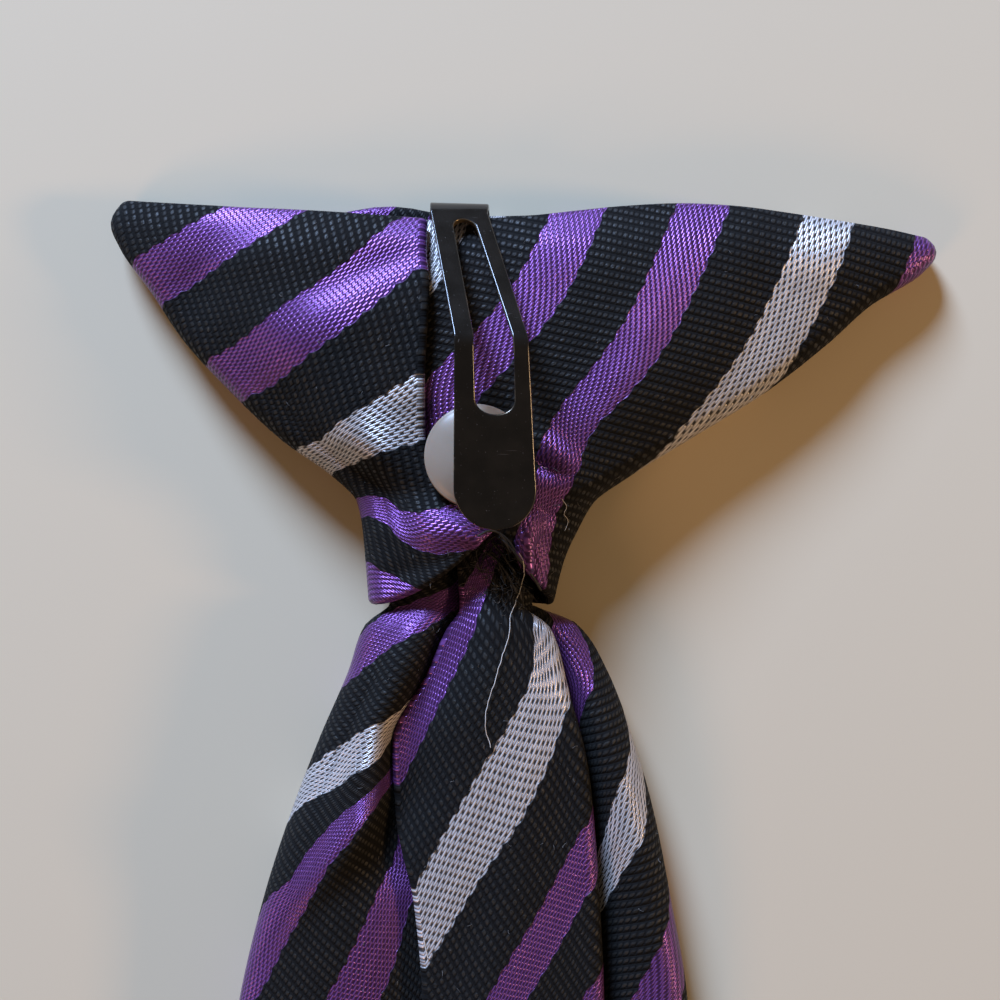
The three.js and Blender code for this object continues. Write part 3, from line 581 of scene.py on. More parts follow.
def new_finish(name):
    """A material, its wiring and its shader."""
    made = bpy.data.materials.new(name)
    made.use_nodes = True
    return made, Wiring(made.node_tree), made.node_tree.nodes["Principled BSDF"]


# The weave of a coloured stripe: long floats of yarn side by side, each bound down once in every repeat.
floats, w, given, result = new_tree(
    "ShaderNodeTree", "satin_floats",
    (("Along", "Float"), ("Across", "Float"), ("Yarn", "Float", 0.19), ("Repeat", "Float", 1.9),
     ("Shift", "Float", 0.4)),
    (("Height", "Float"), ("Bind", "Float"), ("Painted Sheen", "Float"), ("Yarn Number", "Float")),
)
lane = w.over(given["Across"], given["Yarn"])
number = w.math("FLOOR", lane)
off = w.math("MULTIPLY_ADD", w.math("FRACT", lane), 2.0, -1.0)
crown = w.minus(1.0, w.times(off, off))
turns = w.over(given["Along"], given["Repeat"])
phase = w.math("FRACT", w.math("MULTIPLY_ADD", number, given["Shift"], turns))
from_half = w.math("ABSOLUTE", w.minus(phase, 0.5))
to_bind = w.minus(w.times(given["Repeat"], 0.5), w.times(from_half, given["Repeat"]))
bind = w.ramp(to_bind, 0.10, 0.28, 1.0, 0.0)
w.feed(result["Height"], w.times(w.math("MULTIPLY_ADD", crown, 0.6, 0.4), w.minus(1.0, bind)))
w.feed(result["Bind"], bind)
# Painted Sheen lightens the colour on each float's crown and middle and darkens it in the grooves between
# yarns and towards the binds: painted highlight and painted shade.
w.feed(result["Painted Sheen"], w.times(crown, w.ramp(w.minus(1.0, w.times(from_half, 2.0)), 0.1, 0.75)))
w.feed(result["Yarn Number"], number)

# The black ground: rounded beads of yarn in staggered rows across the stripes.
ground, w, given, result = new_tree(
    "ShaderNodeTree", "ribbed_ground",
    (("Along", "Float"), ("Across", "Float"), ("Rib", "Float", 0.74), ("Bead", "Float", 0.50)),
    (("Height", "Float"), ("Tone", "Float")),
)
rib = w.over(given["Along"], given["Rib"])
rib_number = w.math("FLOOR", rib)
rib_off = w.math("MULTIPLY_ADD", w.math("FRACT", rib), 2.0, -1.0)
bead = w.plus(w.over(given["Across"], given["Bead"]), w.times(rib_number, 0.5))
bead_off = w.math("MULTIPLY_ADD", w.math("FRACT", bead), 2.0, -1.0)
crest = w.minus(1.0, w.times(rib_off, rib_off))
notch = w.minus(1.0, w.math("POWER", w.math("ABSOLUTE", bead_off), 3.0))
w.feed(result["Height"], w.times(crest, w.math("MULTIPLY_ADD", notch, 0.6, 0.4)))
which = w.fed("ShaderNodeCombineXYZ", {0: rib_number, 1: w.math("FLOOR", bead)}).outputs[0]
chance = w.fed("ShaderNodeTexWhiteNoise", {"Vector": which}, noise_dimensions="2D")
w.feed(result["Tone"], chance.outputs["Value"])

WHITE_YARN = (0.48, 0.455, 0.445, 1)
PURPLE_YARN = (0.185, 0.066, 0.250, 1)
BLACK_YARN = (0.008, 0.008, 0.009, 1)
# Colours of the black ground in the gaps between beads and on their crowns: painted shade in the gaps,
# painted highlight on the crowns.
BEAD_GAP_PAINTED_SHADE = (0.0012, 0.0011, 0.0010, 1)
BEAD_CROWN_PAINTED_HIGHLIGHT = (0.018, 0.0170, 0.0145, 1)
SCALLOP_LENGTH = 1.8  # mm along a stripe's edge from wave to wave
SCALLOP_DEPTH = 0.22
FLOAT_RISE = 0.09  # mm
BEAD_RISE = 0.14

satin, w, shader = new_finish("striped_satin")
coordinates = w.node("ShaderNodeUVMap", uv_map="weave").outputs[0]
along, across, _ = w.fed("ShaderNodeSeparateXYZ", {0: coordinates}).outputs
stripe = w.over(across, STRIPE_PITCH)
nearest = w.math("ROUND", stripe)
from_middle = w.math("ABSOLUTE", w.times(w.minus(stripe, nearest), STRIPE_PITCH))
wave = w.math("ABSOLUTE", w.math("SINE", w.times(along, math.pi / SCALLOP_LENGTH)))
past_edge = w.minus(from_middle, w.times(wave, SCALLOP_DEPTH))
in_stripe = w.ramp(past_edge, STRIPE_HALF - 0.16, STRIPE_HALF - 0.04, 1.0, 0.0)
third = w.math("FRACT", w.over(w.plus(nearest, 300.0), 3.0))
is_white = w.math("LESS_THAN", third, 0.2)
yarn = w.node("ShaderNodeGroup", node_tree=floats)
beads = w.node("ShaderNodeGroup", node_tree=ground)
for made in (yarn, beads):
    w.feed(made.inputs["Along"], along)
    w.feed(made.inputs["Across"], across)
w.feed(yarn.inputs["Repeat"], w.pick(is_white, 0.95, 1.55))
chance = w.fed("ShaderNodeTexWhiteNoise", {"W": yarn.outputs["Yarn Number"]}, noise_dimensions="1D")
# Each yarn's colour is its random tone times painted highlight on the float crowns and painted shade between
# the yarns.
tone_and_painted_sheen = w.times(w.pick(chance.outputs["Value"], 0.84, 1.10), w.pick(yarn.outputs["Painted Sheen"], 0.62, 1.25))
colour = w.blend(is_white, PURPLE_YARN, WHITE_YARN)
colour = w.blend(w.times(yarn.outputs["Bind"], w.pick(is_white, 0.45, 0.85)), colour, BLACK_YARN)
colour = w.fed("ShaderNodeVectorMath", {0: colour, "Scale": tone_and_painted_sheen}, operation="SCALE").outputs[0]
# Bead crowns are painted lighter than the gaps between them, with a random tone per bead: painted highlight
# and painted shade.
crown = w.ramp(beads.outputs["Height"], 0.60, 1.0)
crowns = w.times(crown, w.ramp(beads.outputs["Tone"], 0.0, 1.0, 0.45, 1.0))
ground_with_painted_light = w.blend(crowns, BEAD_GAP_PAINTED_SHADE, BEAD_CROWN_PAINTED_HIGHLIGHT)
w.feed(shader.inputs["Base Color"], w.blend(in_stripe, ground_with_painted_light, colour))
w.feed(shader.inputs["Roughness"], w.pick(in_stripe, w.ramp(crowns, 0.0, 1.0, 0.95, 0.46), 0.31))
w.feed(shader.inputs["Metallic"], w.times(in_stripe, w.pick(is_white, 0.55, 0.25)))
shader.inputs["Specular IOR Level"].default_value = 0.25
on_floats = w.times(in_stripe, w.times(yarn.outputs["Height"], FLOAT_RISE))
on_beads = w.times(w.minus(1.0, in_stripe), w.times(beads.outputs["Height"], BEAD_RISE))
fuzz = w.times(w.mottle(coordinates, 6), w.ramp(in_stripe, 0.0, 1.0, 0.10, 0.02))
height = w.plus(fuzz, w.plus(on_floats, on_beads))
w.feed(shader.inputs["Normal"], w.bumps(height, MM, 0.8))
knot.data.materials.append(satin)
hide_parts("knot_wrap")
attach(knot, "root")
bpy.context.view_layer.update()

# Blade
# The hanging part, one length of the same satin folded into a flat tube. Its top is gathered and stitched
# inside the neck. Below it the back shows three soft lobes, and the lower end is a right-angled point with
# narrow hems.
# Each row is a section across it, from the top down. floor is the front layer's height and back the left
# lobe's crown, which dips to its hidden end at lap, under seam, the middle lobe's free edge. mid is the
# middle lobe's crown, pleat the share of the way to the right outline at which it folds under, tuck the
# depth of that fold and turn its angle in degrees.
BLADE_COLUMNS = (
    "y", "floor", "left", "right", "r_left", "r_right", "back", "lap",
    "seam", "z_seam", "mid", "pleat", "z_pleat", "tuck", "turn",
)
BLADE_ROWS = (
    (-1.6, 2.2, -10.6, 5.0, 1.5, 1.1, 5.8, -1.6, -3.4, 5.8, 6.4, 0.66, 6.6, 0.6, 180),
    (-5.0, 2.2, -10.6, 3.8, 1.5, 1.2, 5.9, -1.6, -3.4, 5.9, 6.5, 0.70, 6.6, 0.6, 180),
    (-8.0, 2.2, -10.1, 3.3, 1.5, 1.3, 5.7, -1.8, -3.2, 6.1, 6.5, 0.84, 6.5, 0.6, 180),
    (-9.9, 2.2, -10.3, 3.0, 1.6, 1.3, 5.9, -2.0, -3.1, 6.4, 7.3, 0.86, 7.0, 0.6, 180),
    (-12.0, 1.4, -12.7, 7.4, 2.4, 1.9, 7.0, -1.9, -4.4, 6.6, 8.1, 0.77, 7.4, 2.4, 180),
    (-16.0, 0.8, -14.1, 10.0, 2.7, 2.4, 7.6, -3.0, -6.2, 6.6, 8.3, 0.75, 7.4, 3.4, 180),
    (-22.0, 0.6, -16.7, 12.3, 2.8, 2.6, 7.6, -5.6, -9.3, 6.4, 8.1, 0.78, 7.2, 4.6, 180),
    (-29.0, 0.6, -19.4, 14.3, 2.7, 2.6, 7.3, -4.9, -9.0, 6.2, 7.7, 0.755, 6.8, 5.4, 180),
    (-37.0, 0.6, -22.0, 15.9, 2.5, 2.4, 6.8, -3.0, -7.3, 6.0, 7.3, 0.71, 6.4, 5.8, 180),
    (-46.5, 0.6, -24.3, 17.5, 2.2, 2.2, 6.2, -1.6, -6.5, 5.7, 6.9, 0.67, 6.2, 5.8, 180),
    (-62.0, 0.6, -26.6, 18.4, 1.9, 1.9, 5.4, -0.8, -6.2, 5.2, 6.3, 0.64, 5.8, 4.8, 180),
    (-90.0, 0.6, -28.9, 19.3, 1.5, 1.5, 4.4, 0.2, -6.1, 4.7, 5.6, 0.60, 5.4, 2.8, 180),
    (-125.0, 0.6, -30.8, 20.9, 1.2, 1.2, 3.5, 0.8, -6.0, 4.3, 4.7, 0.55, 4.5, 0.6, 90),
    (-170.0, 0.6, -32.9, 22.9, 1.05, 1.05, 2.8, 1.0, -5.8, 4.2, 4.3, 0.52, 4.0, 0.5, 10),
    (-260.0, 0.6, -37.0, 27.0, 1.0, 1.0, 2.7, 1.2, -5.4, 4.2, 4.1, 0.50, 3.8, 0.5, 6),
    (-326.0, 0.6, -39.7, 29.7, 1.0, 1.0, 2.7, 1.2, -5.2, 4.2, 4.1, 0.50, 3.7, 0.5, 6),
)
LAYER_GAP = 0.35  # mm of air between layers of cloth that lie on each other
OPEN_TURN = 40  # degrees, below which the pleat's folds open out into wider bends
TIP_Y = -392.0
BLADE_MIDDLE = -5.0
BLADE_HALF = 36.0
CORNER_Y = TIP_Y + BLADE_HALF
FLAP_V_TOP = -330.0
POINT_PRESS = 6.0  # half width from which the point's layers are pressed together
HEM = 6.0
HEM_MOST = 0.7  # share of the half width that a hem may take near the tip
CROWN_AT = 0.45  # where the middle lobe's crown is between its two edges
MIDDLE_STEPS = 20  # steps of a section to the middle lobe's crown, and from there to the pleat
PLEAT_TURN_STEPS = 8
PLEAT_STEPS = 6
RIGHT_LOBE_STEPS = 24
BLADE_FRONT_STEPS = 16
LEFT_LOBE_STEPS = 18  # to the left lobe's crown, and from there to its dip
TUCKED_STEPS = 4


def blade_section(row, cloth):
    """From the free edge of the middle lobe round to the hidden end of the left lobe."""
    shoulder = shoulder_point(row, row["floor"])
    start = (row["seam"], row["z_seam"])
    turn = math.radians(row["turn"])
    radius = (cloth + LAYER_GAP) / 2 * max(1, OPEN_TURN / row["turn"])
    fold_x = mix(row["seam"], row["right"], row["pleat"]) - cloth / 2 - radius * min(1, math.sin(turn / 2))
    edge = (fold_x, row["z_pleat"])
    crown = (mix(start[0], edge[0], CROWN_AT), row["mid"])
    across = heading(start, edge)
    path = SectionPath(*start, "middle_lobe")
    path.bend_to(*crown, heading(start, crown), across, MIDDLE_STEPS, "middle_lobe")
    path.bend_to(*edge, across, 0, MIDDLE_STEPS, "middle_lobe")
    path.arc(edge[0], edge[1] - radius, radius, math.pi / 2, math.pi / 2 - turn, PLEAT_TURN_STEPS, "pleat")
    under = path.points[-1]
    hidden = (under[0] + row["tuck"] * math.cos(turn), under[1] - row["tuck"] * math.sin(turn))
    path.bend_to(*hidden, -turn, -turn, PLEAT_STEPS, "pleat")
    centre = (hidden[0] + radius * math.sin(turn), hidden[1] + radius * math.cos(turn))
    path.arc(*centre, radius, -turn - math.pi / 2, -math.pi / 2, PLEAT_TURN_STEPS, "pleat")
    out = path.points[-1]
    path.bend_to(max(out[0], edge[0]) + LAYER_GAP, out[1], 0, 0, PLEAT_STEPS, "pleat")
    path.bend_to(*shoulder, 0, SHOULDER - math.pi / 2, RIGHT_LOBE_STEPS, "right_lobe")
    wrap_front(path, row, row["floor"], BLADE_FRONT_STEPS)
    rise = path.points[-1]
    dip = (min(row["seam"], row["lap"]), row["z_seam"] - row["under"])
    back = (mix(rise[0], dip[0], 0.5), row["back"])
    fall = heading(back, dip)
    path.bend_to(*back, math.pi / 2 - SHOULDER, fall / 3, LEFT_LOBE_STEPS, "left_lobe")
    path.bend_to(*dip, fall / 3, fall / 2, LEFT_LOBE_STEPS, "left_lobe")
    path.bend_to(row["lap"] + 0.05, dip[1], fall / 2, 0, TUCKED_STEPS, "left_lobe")
    return np.array(path.points), path.stretches


read_blade = table_reader(BLADE_COLUMNS, BLADE_ROWS)


def blade_row(y):
    """The blade's row at any height. Below the table it widens to the corners and closes to the tip."""
    last = BLADE_ROWS[-1][0]
    row = read_blade(max(y, last))
    row["under"] = CLOTH + 1.5 * LAYER_GAP
    row["cloth"] = CLOTH
    if y >= last:
        return row
    if y > CORNER_Y:
        half = mix(BLADE_HALF, (row["right"] - row["left"]) / 2, (y - CORNER_Y) / (last - CORNER_Y))
    else:
        half = y - TIP_Y
    row["left"], row["right"] = BLADE_MIDDLE - half, BLADE_MIDDLE + half
    apart = min(1, max(0, (FLAP_V_TOP - y) / (FLAP_V_TOP - CORNER_Y)))
    hem = min(HEM, HEM_MOST * half)
    row["seam"] = mix(row["seam"], row["right"] - hem, apart)
    row["lap"] = mix(row["lap"], row["left"] + hem, apart)
    for name in ("z_seam", "mid", "z_pleat"):
        row[name] = mix(row[name], row["floor"] + 2 * row["r_right"], apart)
    row["back"] = mix(row["back"], row["floor"] + 2 * row["r_left"], apart)
    row["under"] = mix(row["under"], 0, apart)
    press = min(1, half / POINT_PRESS)
    row["cloth"] = CLOTH * press
    for name in ("floor", "r_left", "r_right", "z_seam", "mid", "z_pleat", "back"):
        row[name] *= press
    return row


BLADE_MARKS = {
    "left_lobe": (
        (-1 - HALF, ((353, 640), (401, 611), (440, 594))),
        (-1 + HALF, ((346, 684), (370, 659), (407, 640), (444, 613))),
        (-HALF, ((308, 771), (327, 744), (375, 725), (405, 706))),
        (HALF, ((291, 816), (307, 802), (348, 789), (375, 765), (392, 735))),
        (1 - HALF, ((252, 920), (268, 899), (295, 886), (327, 835), (359, 797))),
        (1 + HALF, ((263, 990), (298, 922), (308, 892), (332, 856), (360, 818), (382, 787))),
        (2 - HALF, ((401, 867), (369, 915), (328, 995))),
        (2 + HALF, ((411, 905), (398, 952), (382, 995))),
    ),
    "middle_lobe": (
        (-1 - HALF, ((488, 552), (480, 567))),
        (-1.14, ((462, 598),)),
        (-1.1, ((437, 650), (397, 733))),
        (-1 + HALF, ((493, 558), (491, 573), (484, 603), (468, 650), (443, 702), (408, 765))),
        (-HALF, ((518, 701), (482, 765), (450, 824), (418, 883))),
        (HALF, ((567, 695), (545, 765), (517, 824), (476, 883), (434, 953))),
        (-HALF, ((537, 612), (539, 642), (531, 680))),
        (HALF, ((545, 612), (557, 653), (569, 686))),
        (1 - HALF, ((594, 805), (561, 867), (535, 915), (489, 998))),
        (1 + HALF, ((601, 867), (574, 918), (525, 998))),
    ),
    "right_lobe": (
        (-1 - HALF, ((551, 607), (565, 655), (572, 690))),
        (-1 + HALF, ((574, 625), (588, 652), (592, 690), (583, 715))),
        (-HALF, ((636, 747), (620, 803), (601, 861))),
        (HALF, ((648, 790), (648, 829), (631, 867), (604, 915))),
        (1 - HALF, ((673, 920), (657, 963), (641, 998))),
    ),
}
BLADE_FOLDS = (
    # x, y, heading in degrees, length, width, rise
    (-5.6, -17.0, 65, 9.0, 1.9, -0.8),
    (-9.6, -30.0, 64, 7.0, 2.2, -1.2),
    (-18.0, -31.0, 62, 12.0, 3.0, 0.5),
    (-13.5, -17.0, 38, 6.0, 1.6, 0.45),
    (-14.9, -32.3, 54, 6.0, 1.35, 0.95),
    (-15.0, -24.5, 48, 6.0, 1.4, -0.45),
    (2.5, -26.0, 82, 14.0, 2.6, 0.35),
    (-2.4, -38.0, 75, 9.0, 2.2, -0.35),
    (10.5, -22.0, -78, 7.0, 1.6, 0.4),
    (14.5, -36.0, -80, 9.0, 1.8, 0.35),
)
DENSE_TO = -68.0  # the rows are dense as far as the view shows the blade, and sparse below
DENSE_STEP = 0.54
SPARSE_STEP = 3.5
POINT_STEP = 1.6
BLADE_BACK = 7.0  # height of the blade's back where the view shows it
SLANT = math.radians(45)  # the stripes' slope far down the blade
PLAIN_FROM = (-110.0, -160.0, -250.0, -380.0)  # heights at which the stripes' course is plain
MARKS_END = -170.0  # where the marks have no more part in it, and how far above that they fade
MARKS_FADE = 60.0
heights, _ = row_heights(BLADE_ROWS[0][0], DENSE_TO - 2, DENSE_STEP)
heights = [y for y in heights if y > DENSE_TO]
heights += list(np.arange(DENSE_TO - 0.5, FLAP_V_TOP, -SPARSE_STEP))
heights += list(np.arange(FLAP_V_TOP - 1, TIP_Y + 1, -POINT_STEP)) + [TIP_Y + 0.8]
rows = [blade_row(y) for y in heights]
sections = [blade_section(row, row["cloth"]) for row in rows]
blade_points = np.stack([np.insert(section, 1, y, axis=1) for (section, _), y in zip(sections, heights)])
stretches = np.array(sections[0][1])
around = girth(blade_points)
columns = np.arange(len(stretches))
front_middle = int(np.mean(np.flatnonzero(stretches == "front")))
from_front = around - around[:, [front_middle]]
blade_y = blade_points[:, :, 1]
pleat = np.flatnonzero(stretches == "pleat")
pleat_first, pleat_last = int(pleat[PLEAT_TURN_STEPS // 2]), int(pleat[-1])
right_turn = int(np.flatnonzero(stretches == "right_fold")[FOLD_STEPS // 2 - 1])
left_turn = int(np.flatnonzero(stretches == "left_fold")[FOLD_STEPS // 2])
left_crown = len(stretches) - 1 - TUCKED_STEPS - LEFT_LOBE_STEPS
LOBES = (
    # name, column on its crown, first and last column, height below which its stripes run plainly, ribs' lean
    ("middle_lobe", MIDDLE_STEPS, 0, pleat_first, -125.0, math.radians(58)),
    ("right_lobe", pleat_last + RIGHT_LOBE_STEPS // 2, pleat_last, right_turn, -62.0, math.radians(-15)),
    ("left_lobe", left_crown, left_turn, len(stretches) - 1, -62.0, math.radians(45)),
)
slant = math.sin(SLANT) / STRIPE_PITCH
heights = np.array(heights)
upward = np.argsort(heights)
fits = {}
for lobe, crown, first, last, plain_top, lean in LOBES:
    spread = across_from(around, blade_points, crown)
    drift = np.interp(np.minimum(heights, plain_top), heights[upward], (from_front - spread)[upward, crown])
    places, numbers = marks_of(BLADE_MARKS[lobe], BLADE_BACK)
    at_marks = places[:, 0] + np.interp(places[:, 1], heights[upward], drift[upward]) - places[:, 1]
    fits[lobe] = (spread, drift[:, None], places, numbers - slant * at_marks)
start = float(np.mean(fits["right_lobe"][3][-2:]))
share = np.clip((heights[:, None] - MARKS_END) / MARKS_FADE, 0, 1)
fade = share * share * (3 - 2 * share)
blade_stripes = np.zeros_like(around)
blade_along = np.zeros_like(around)
for lobe, crown, first, last, plain_top, lean in LOBES:
    spread, drift, places, misses = fits[lobe]
    misses = misses - start
    misses = misses - 3 * round(float(misses[-1]) / 3)
    rims = [(np.interp(-y, -heights, spread[:, column]), y) for y in PLAIN_FROM for column in (first, last)]
    known = np.concatenate([misses, np.zeros(len(rims))])
    bend = thin_plate(np.concatenate([places, rims]), known, STRIPE_GIVE)
    stripes = start + slant * (spread + drift - blade_y) + bend(spread, blade_y) * fade
    chosen = (columns >= first) & (columns <= last)
    blade_stripes[:, chosen] = stripes[:, chosen]
    blade_along[:, chosen] = (spread * math.sin(lean) + blade_y * math.cos(lean))[:, chosen]
for first, last in ((pleat_first, pleat_last), (right_turn, left_turn)):
    joined(blade_stripes, around, first, last)
    joined(blade_along, around, first, last)
creased(blade_points, BLADE_FOLDS)
blade_thickness = np.array([row["cloth"] for row in rows])
blade_weave = np.stack([blade_along, blade_stripes * STRIPE_PITCH], -1)
hanging = cloth_mesh("blade_cloth", blade_points, blade_thickness, blade_weave)
hanging.data.materials.append(satin)
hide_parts("blade")
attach(hanging, "root")
bpy.context.view_layer.update()

# Clip
# One strip of stamped spring steel under glossy black lacquer. Its leg lies inside the knot, held by the
# rivet. It bends over the knot's top edge, rises to a crease and falls to a round tongue. A long slot runs
# through the rise and into the tongue.
STEEL = 0.6
LEG_WIDTH = 5.6
TOP_WIDTH = 5.3
KNEE_WIDTH = 6.6
TONGUE_WIDTH = 7.4
BEND_RADIUS = 1.8
CREASE_RADIUS = 1.6
LEG = math.radians(-17)
LEAF = math.radians(180 - 31)
TONGUE = math.radians(180 + 8.5)
LEAF_LENGTH = 13.6
TONGUE_LENGTH = 16.1
LEAF_ROLL = math.radians(12)
LEAF_SWING = 0.12
TONGUE_SWING = 0.055
BEND_CENTRE = (-3.7, 25.05, 5.85)
LEG_ROWS = ((0.9, 6.0), (9.5, 6.0), (15.5, 5.9), (19.5, 5.4))
SLOT_TOP = 0.9
SLOT_END = 5.9
SLOT_TOP_HALF = 0.95
SLOT_LOW_HALF = 1.75
SLOT_OFFSET = 0.18
HOLE_RADIUS = 1.8
EDGE_ROUND = 0.14
FACE_BAND = 0.02  # what counts as the strip's flat faces, where the lacquer isn't worn


def over_bend(angle):
    return BEND_CENTRE[1] + BEND_RADIUS * math.sin(angle), BEND_CENTRE[2] - BEND_RADIUS * math.cos(angle)


MOUTH, ROOT = over_bend(LEG), over_bend(LEAF)
leg = np.array(LEG_ROWS + (MOUTH,))
BEND_RUN = BEND_RADIUS * (LEAF - LEG)
leg_steps = np.linalg.norm(np.diff(leg, axis=0), axis=1)
leg_runs = np.concatenate([[0], np.cumsum(leg_steps)]) - leg_steps.sum() - BEND_RUN
leg_turns = np.arctan2(np.gradient(leg[:, 1], leg_runs), np.gradient(leg[:, 0], leg_runs))
side_view = [(run, y, z, turn) for run, (y, z), turn in zip(leg_runs[:-1], leg[:-1], leg_turns[:-1])]
side_view += [(BEND_RADIUS * (a - LEAF), *over_bend(a), a) for a in np.linspace(LEG, LEAF, 29)]
crest = (ROOT[0] + LEAF_LENGTH * math.cos(LEAF), ROOT[1] + LEAF_LENGTH * math.sin(LEAF))
pivot = (crest[0] - CREASE_RADIUS * math.sin(LEAF), crest[1] + CREASE_RADIUS * math.cos(LEAF))
for angle in np.linspace(LEAF, TONGUE, 13):
    side_view.append((
        LEAF_LENGTH + CREASE_RADIUS * (angle - LEAF),
        pivot[0] + CREASE_RADIUS * math.sin(angle), pivot[1] - CREASE_RADIUS * math.cos(angle), angle,
    ))
KNEE_RUN = side_view[-1][0]
side_view.append((
    KNEE_RUN + TONGUE_LENGTH, side_view[-1][1] + TONGUE_LENGTH * math.cos(TONGUE),
    side_view[-1][2] + TONGUE_LENGTH * math.sin(TONGUE), TONGUE,
))
side_view = np.array(side_view)
RIVET_RUN = float(np.interp(RIVET_AT[1], side_view[:5, 1], side_view[:5, 0]))
KNEE_DOWN = LEAF_LENGTH * math.cos(math.pi - LEAF)


def bent(run, across, off):
    """Where a spot of the flat strip goes: run along it, across it, and off its middle."""
    y, z, turn = (np.interp(run, side_view[:, 0], side_view[:, k]) for k in (1, 2, 3))
    share = np.clip(1 + run / BEND_RUN, 0, 1)
    roll = LEAF_ROLL * share
    down = np.where(run > 0, ROOT[0] - y, 0)
    swing = LEAF_SWING * np.minimum(down, KNEE_DOWN) + TONGUE_SWING * np.maximum(0, down - KNEE_DOWN)
    lean = np.where(run > 0, (z - ROOT[1]) * math.tan(LEAF_ROLL) + swing, 0)
    to_rivet = np.where(run < -BEND_RUN, (MOUTH[0] - y) / (MOUTH[0] - RIVET_AT[1]), 0)
    inset = to_rivet * (RIVET_AT[0] - BEND_CENTRE[0])
    return np.stack([
        BEND_CENTRE[0] + lean + inset + across * np.cos(roll),
        y - off * np.sin(turn),
        z + off * np.cos(turn) - across * np.sin(roll),
    ], -1)


def clip_half_width(run):
    if run < 0:
        return mix(LEG_WIDTH, TOP_WIDTH, max(0, 1 + run / BEND_RUN)) / 2
    straight = TONGUE_LENGTH - TONGUE_WIDTH / 2
    past = min(1, max(0, (run - KNEE_RUN) / straight))
    round_share = min(1, max(0, (run - KNEE_RUN - straight) / (TONGUE_WIDTH / 2)))
    width = mix(mix(TOP_WIDTH, KNEE_WIDTH, min(1, run / KNEE_RUN)), TONGUE_WIDTH, past)
    return width / 2 * math.sqrt(1 - round_share ** 2)


def slot_half_width(run):
    half = mix(SLOT_TOP_HALF, SLOT_LOW_HALF, min(1, run / KNEE_RUN))
    top = min(1, (run - SLOT_TOP) / SLOT_TOP_HALF)
    end = min(1, (KNEE_RUN + SLOT_END - run) / (0.75 * SLOT_LOW_HALF))
    return half * math.sqrt(max(0, 1 - (1 - top) ** 2)) * math.sqrt(max(0, 1 - (1 - end) ** 2)), SLOT_OFFSET


def eased(start, stop, count):
    """Stations that crowd at both ends, for outlines with round ends."""
    return start + (stop - start) * (1 - np.cos(np.linspace(0, math.pi, count))) / 2


def cyclic_outline(curve, spots):
    spline = curve.splines.new("POLY")
    spline.points.add(len(spots) - 1)
    spline.points.foreach_set("co", [v for x, y in spots for v in (x, y, 0, 1)])
    spline.use_cyclic_u = True


flat = bpy.data.curves.new("flat_clip", "CURVE")
flat.dimensions = "2D"
flat.fill_mode = "BOTH"
flat.extrude = STEEL / 2 - EDGE_ROUND
flat.bevel_depth = EDGE_ROUND
flat.bevel_resolution = 3
flat.offset = -EDGE_ROUND
leg_end = float(side_view[0, 0])
tongue_end = float(side_view[-1, 0])
ROUND_END = 4.0  # mm of the tongue whose outline has close stations
runs = np.concatenate([
    np.linspace(leg_end, 0, 12)[:-1],
    np.linspace(0, tongue_end - ROUND_END, 24)[:-1],
    tongue_end - ROUND_END * np.cos(np.linspace(0, math.pi / 2, 22)),
])
outline = [(run, -clip_half_width(run)) for run in runs]
cyclic_outline(flat, outline + [(run, -across) for run, across in outline[-2::-1]])
slot = [(run, *slot_half_width(run)) for run in eased(SLOT_TOP, KNEE_RUN + SLOT_END, 72)]
cyclic_outline(flat, [(run, aside - half) for run, half, aside in slot]
               + [(run, aside + half) for run, half, aside in slot[-2:0:-1]])
hole = [(HOLE_RADIUS * math.cos(a), HOLE_RADIUS * math.sin(a)) for a in np.linspace(0, 2 * math.pi, 29)[:-1]]
cyclic_outline(flat, [(RIVET_RUN + x, y) for x, y in hole])
flat_clip = put("flat_clip", flat)
bpy.context.view_layer.update()
clip_mesh = bpy.data.meshes.new_from_object(flat_clip.evaluated_get(bpy.context.evaluated_depsgraph_get()))
bpy.data.objects.remove(flat_clip)
shell = bmesh.new()
shell.from_mesh(clip_mesh)
bmesh.ops.remove_doubles(shell, verts=shell.verts, dist=1e-4)
CUT_FROM, CUT_STEP = 0.5, 0.8  # where the leaf and tongue are cut across, so that they can bend
for run in np.concatenate([side_view[1:, 0], np.arange(CUT_FROM, tongue_end, CUT_STEP)]):
    everything = list(shell.verts) + list(shell.edges) + list(shell.faces)
    bmesh.ops.bisect_plane(shell, geom=everything, dist=1e-5, plane_co=(run, 0, 0), plane_no=(1, 0, 0))
bmesh.ops.recalc_face_normals(shell, faces=shell.faces)
on_edge = shell.verts.layers.float.new("worn_edge")
spots = np.array([v.co for v in shell.verts])
for vert, spot in zip(shell.verts, spots):
    vert[on_edge] = 1.0 if abs(spot[2]) < STEEL / 2 - FACE_BAND else 0.0
for vert, spot in zip(shell.verts, placed(bent(spots[:, 0], spots[:, 1], spots[:, 2]))):
    vert.co = spot
bmesh.ops.recalc_face_normals(shell, faces=shell.faces)
shell.to_mesh(clip_mesh)
shell.free()
clip_mesh.shade_smooth()
clip = put("sprung_clip", clip_mesh)
weighted = clip.modifiers.new("flat_faces", "WEIGHTED_NORMAL")
weighted.keep_sharp = False
bpy.context.view_layer.update()
clip.data = bpy.data.meshes.new_from_object(clip.evaluated_get(bpy.context.evaluated_depsgraph_get()))
clip.modifiers.clear()

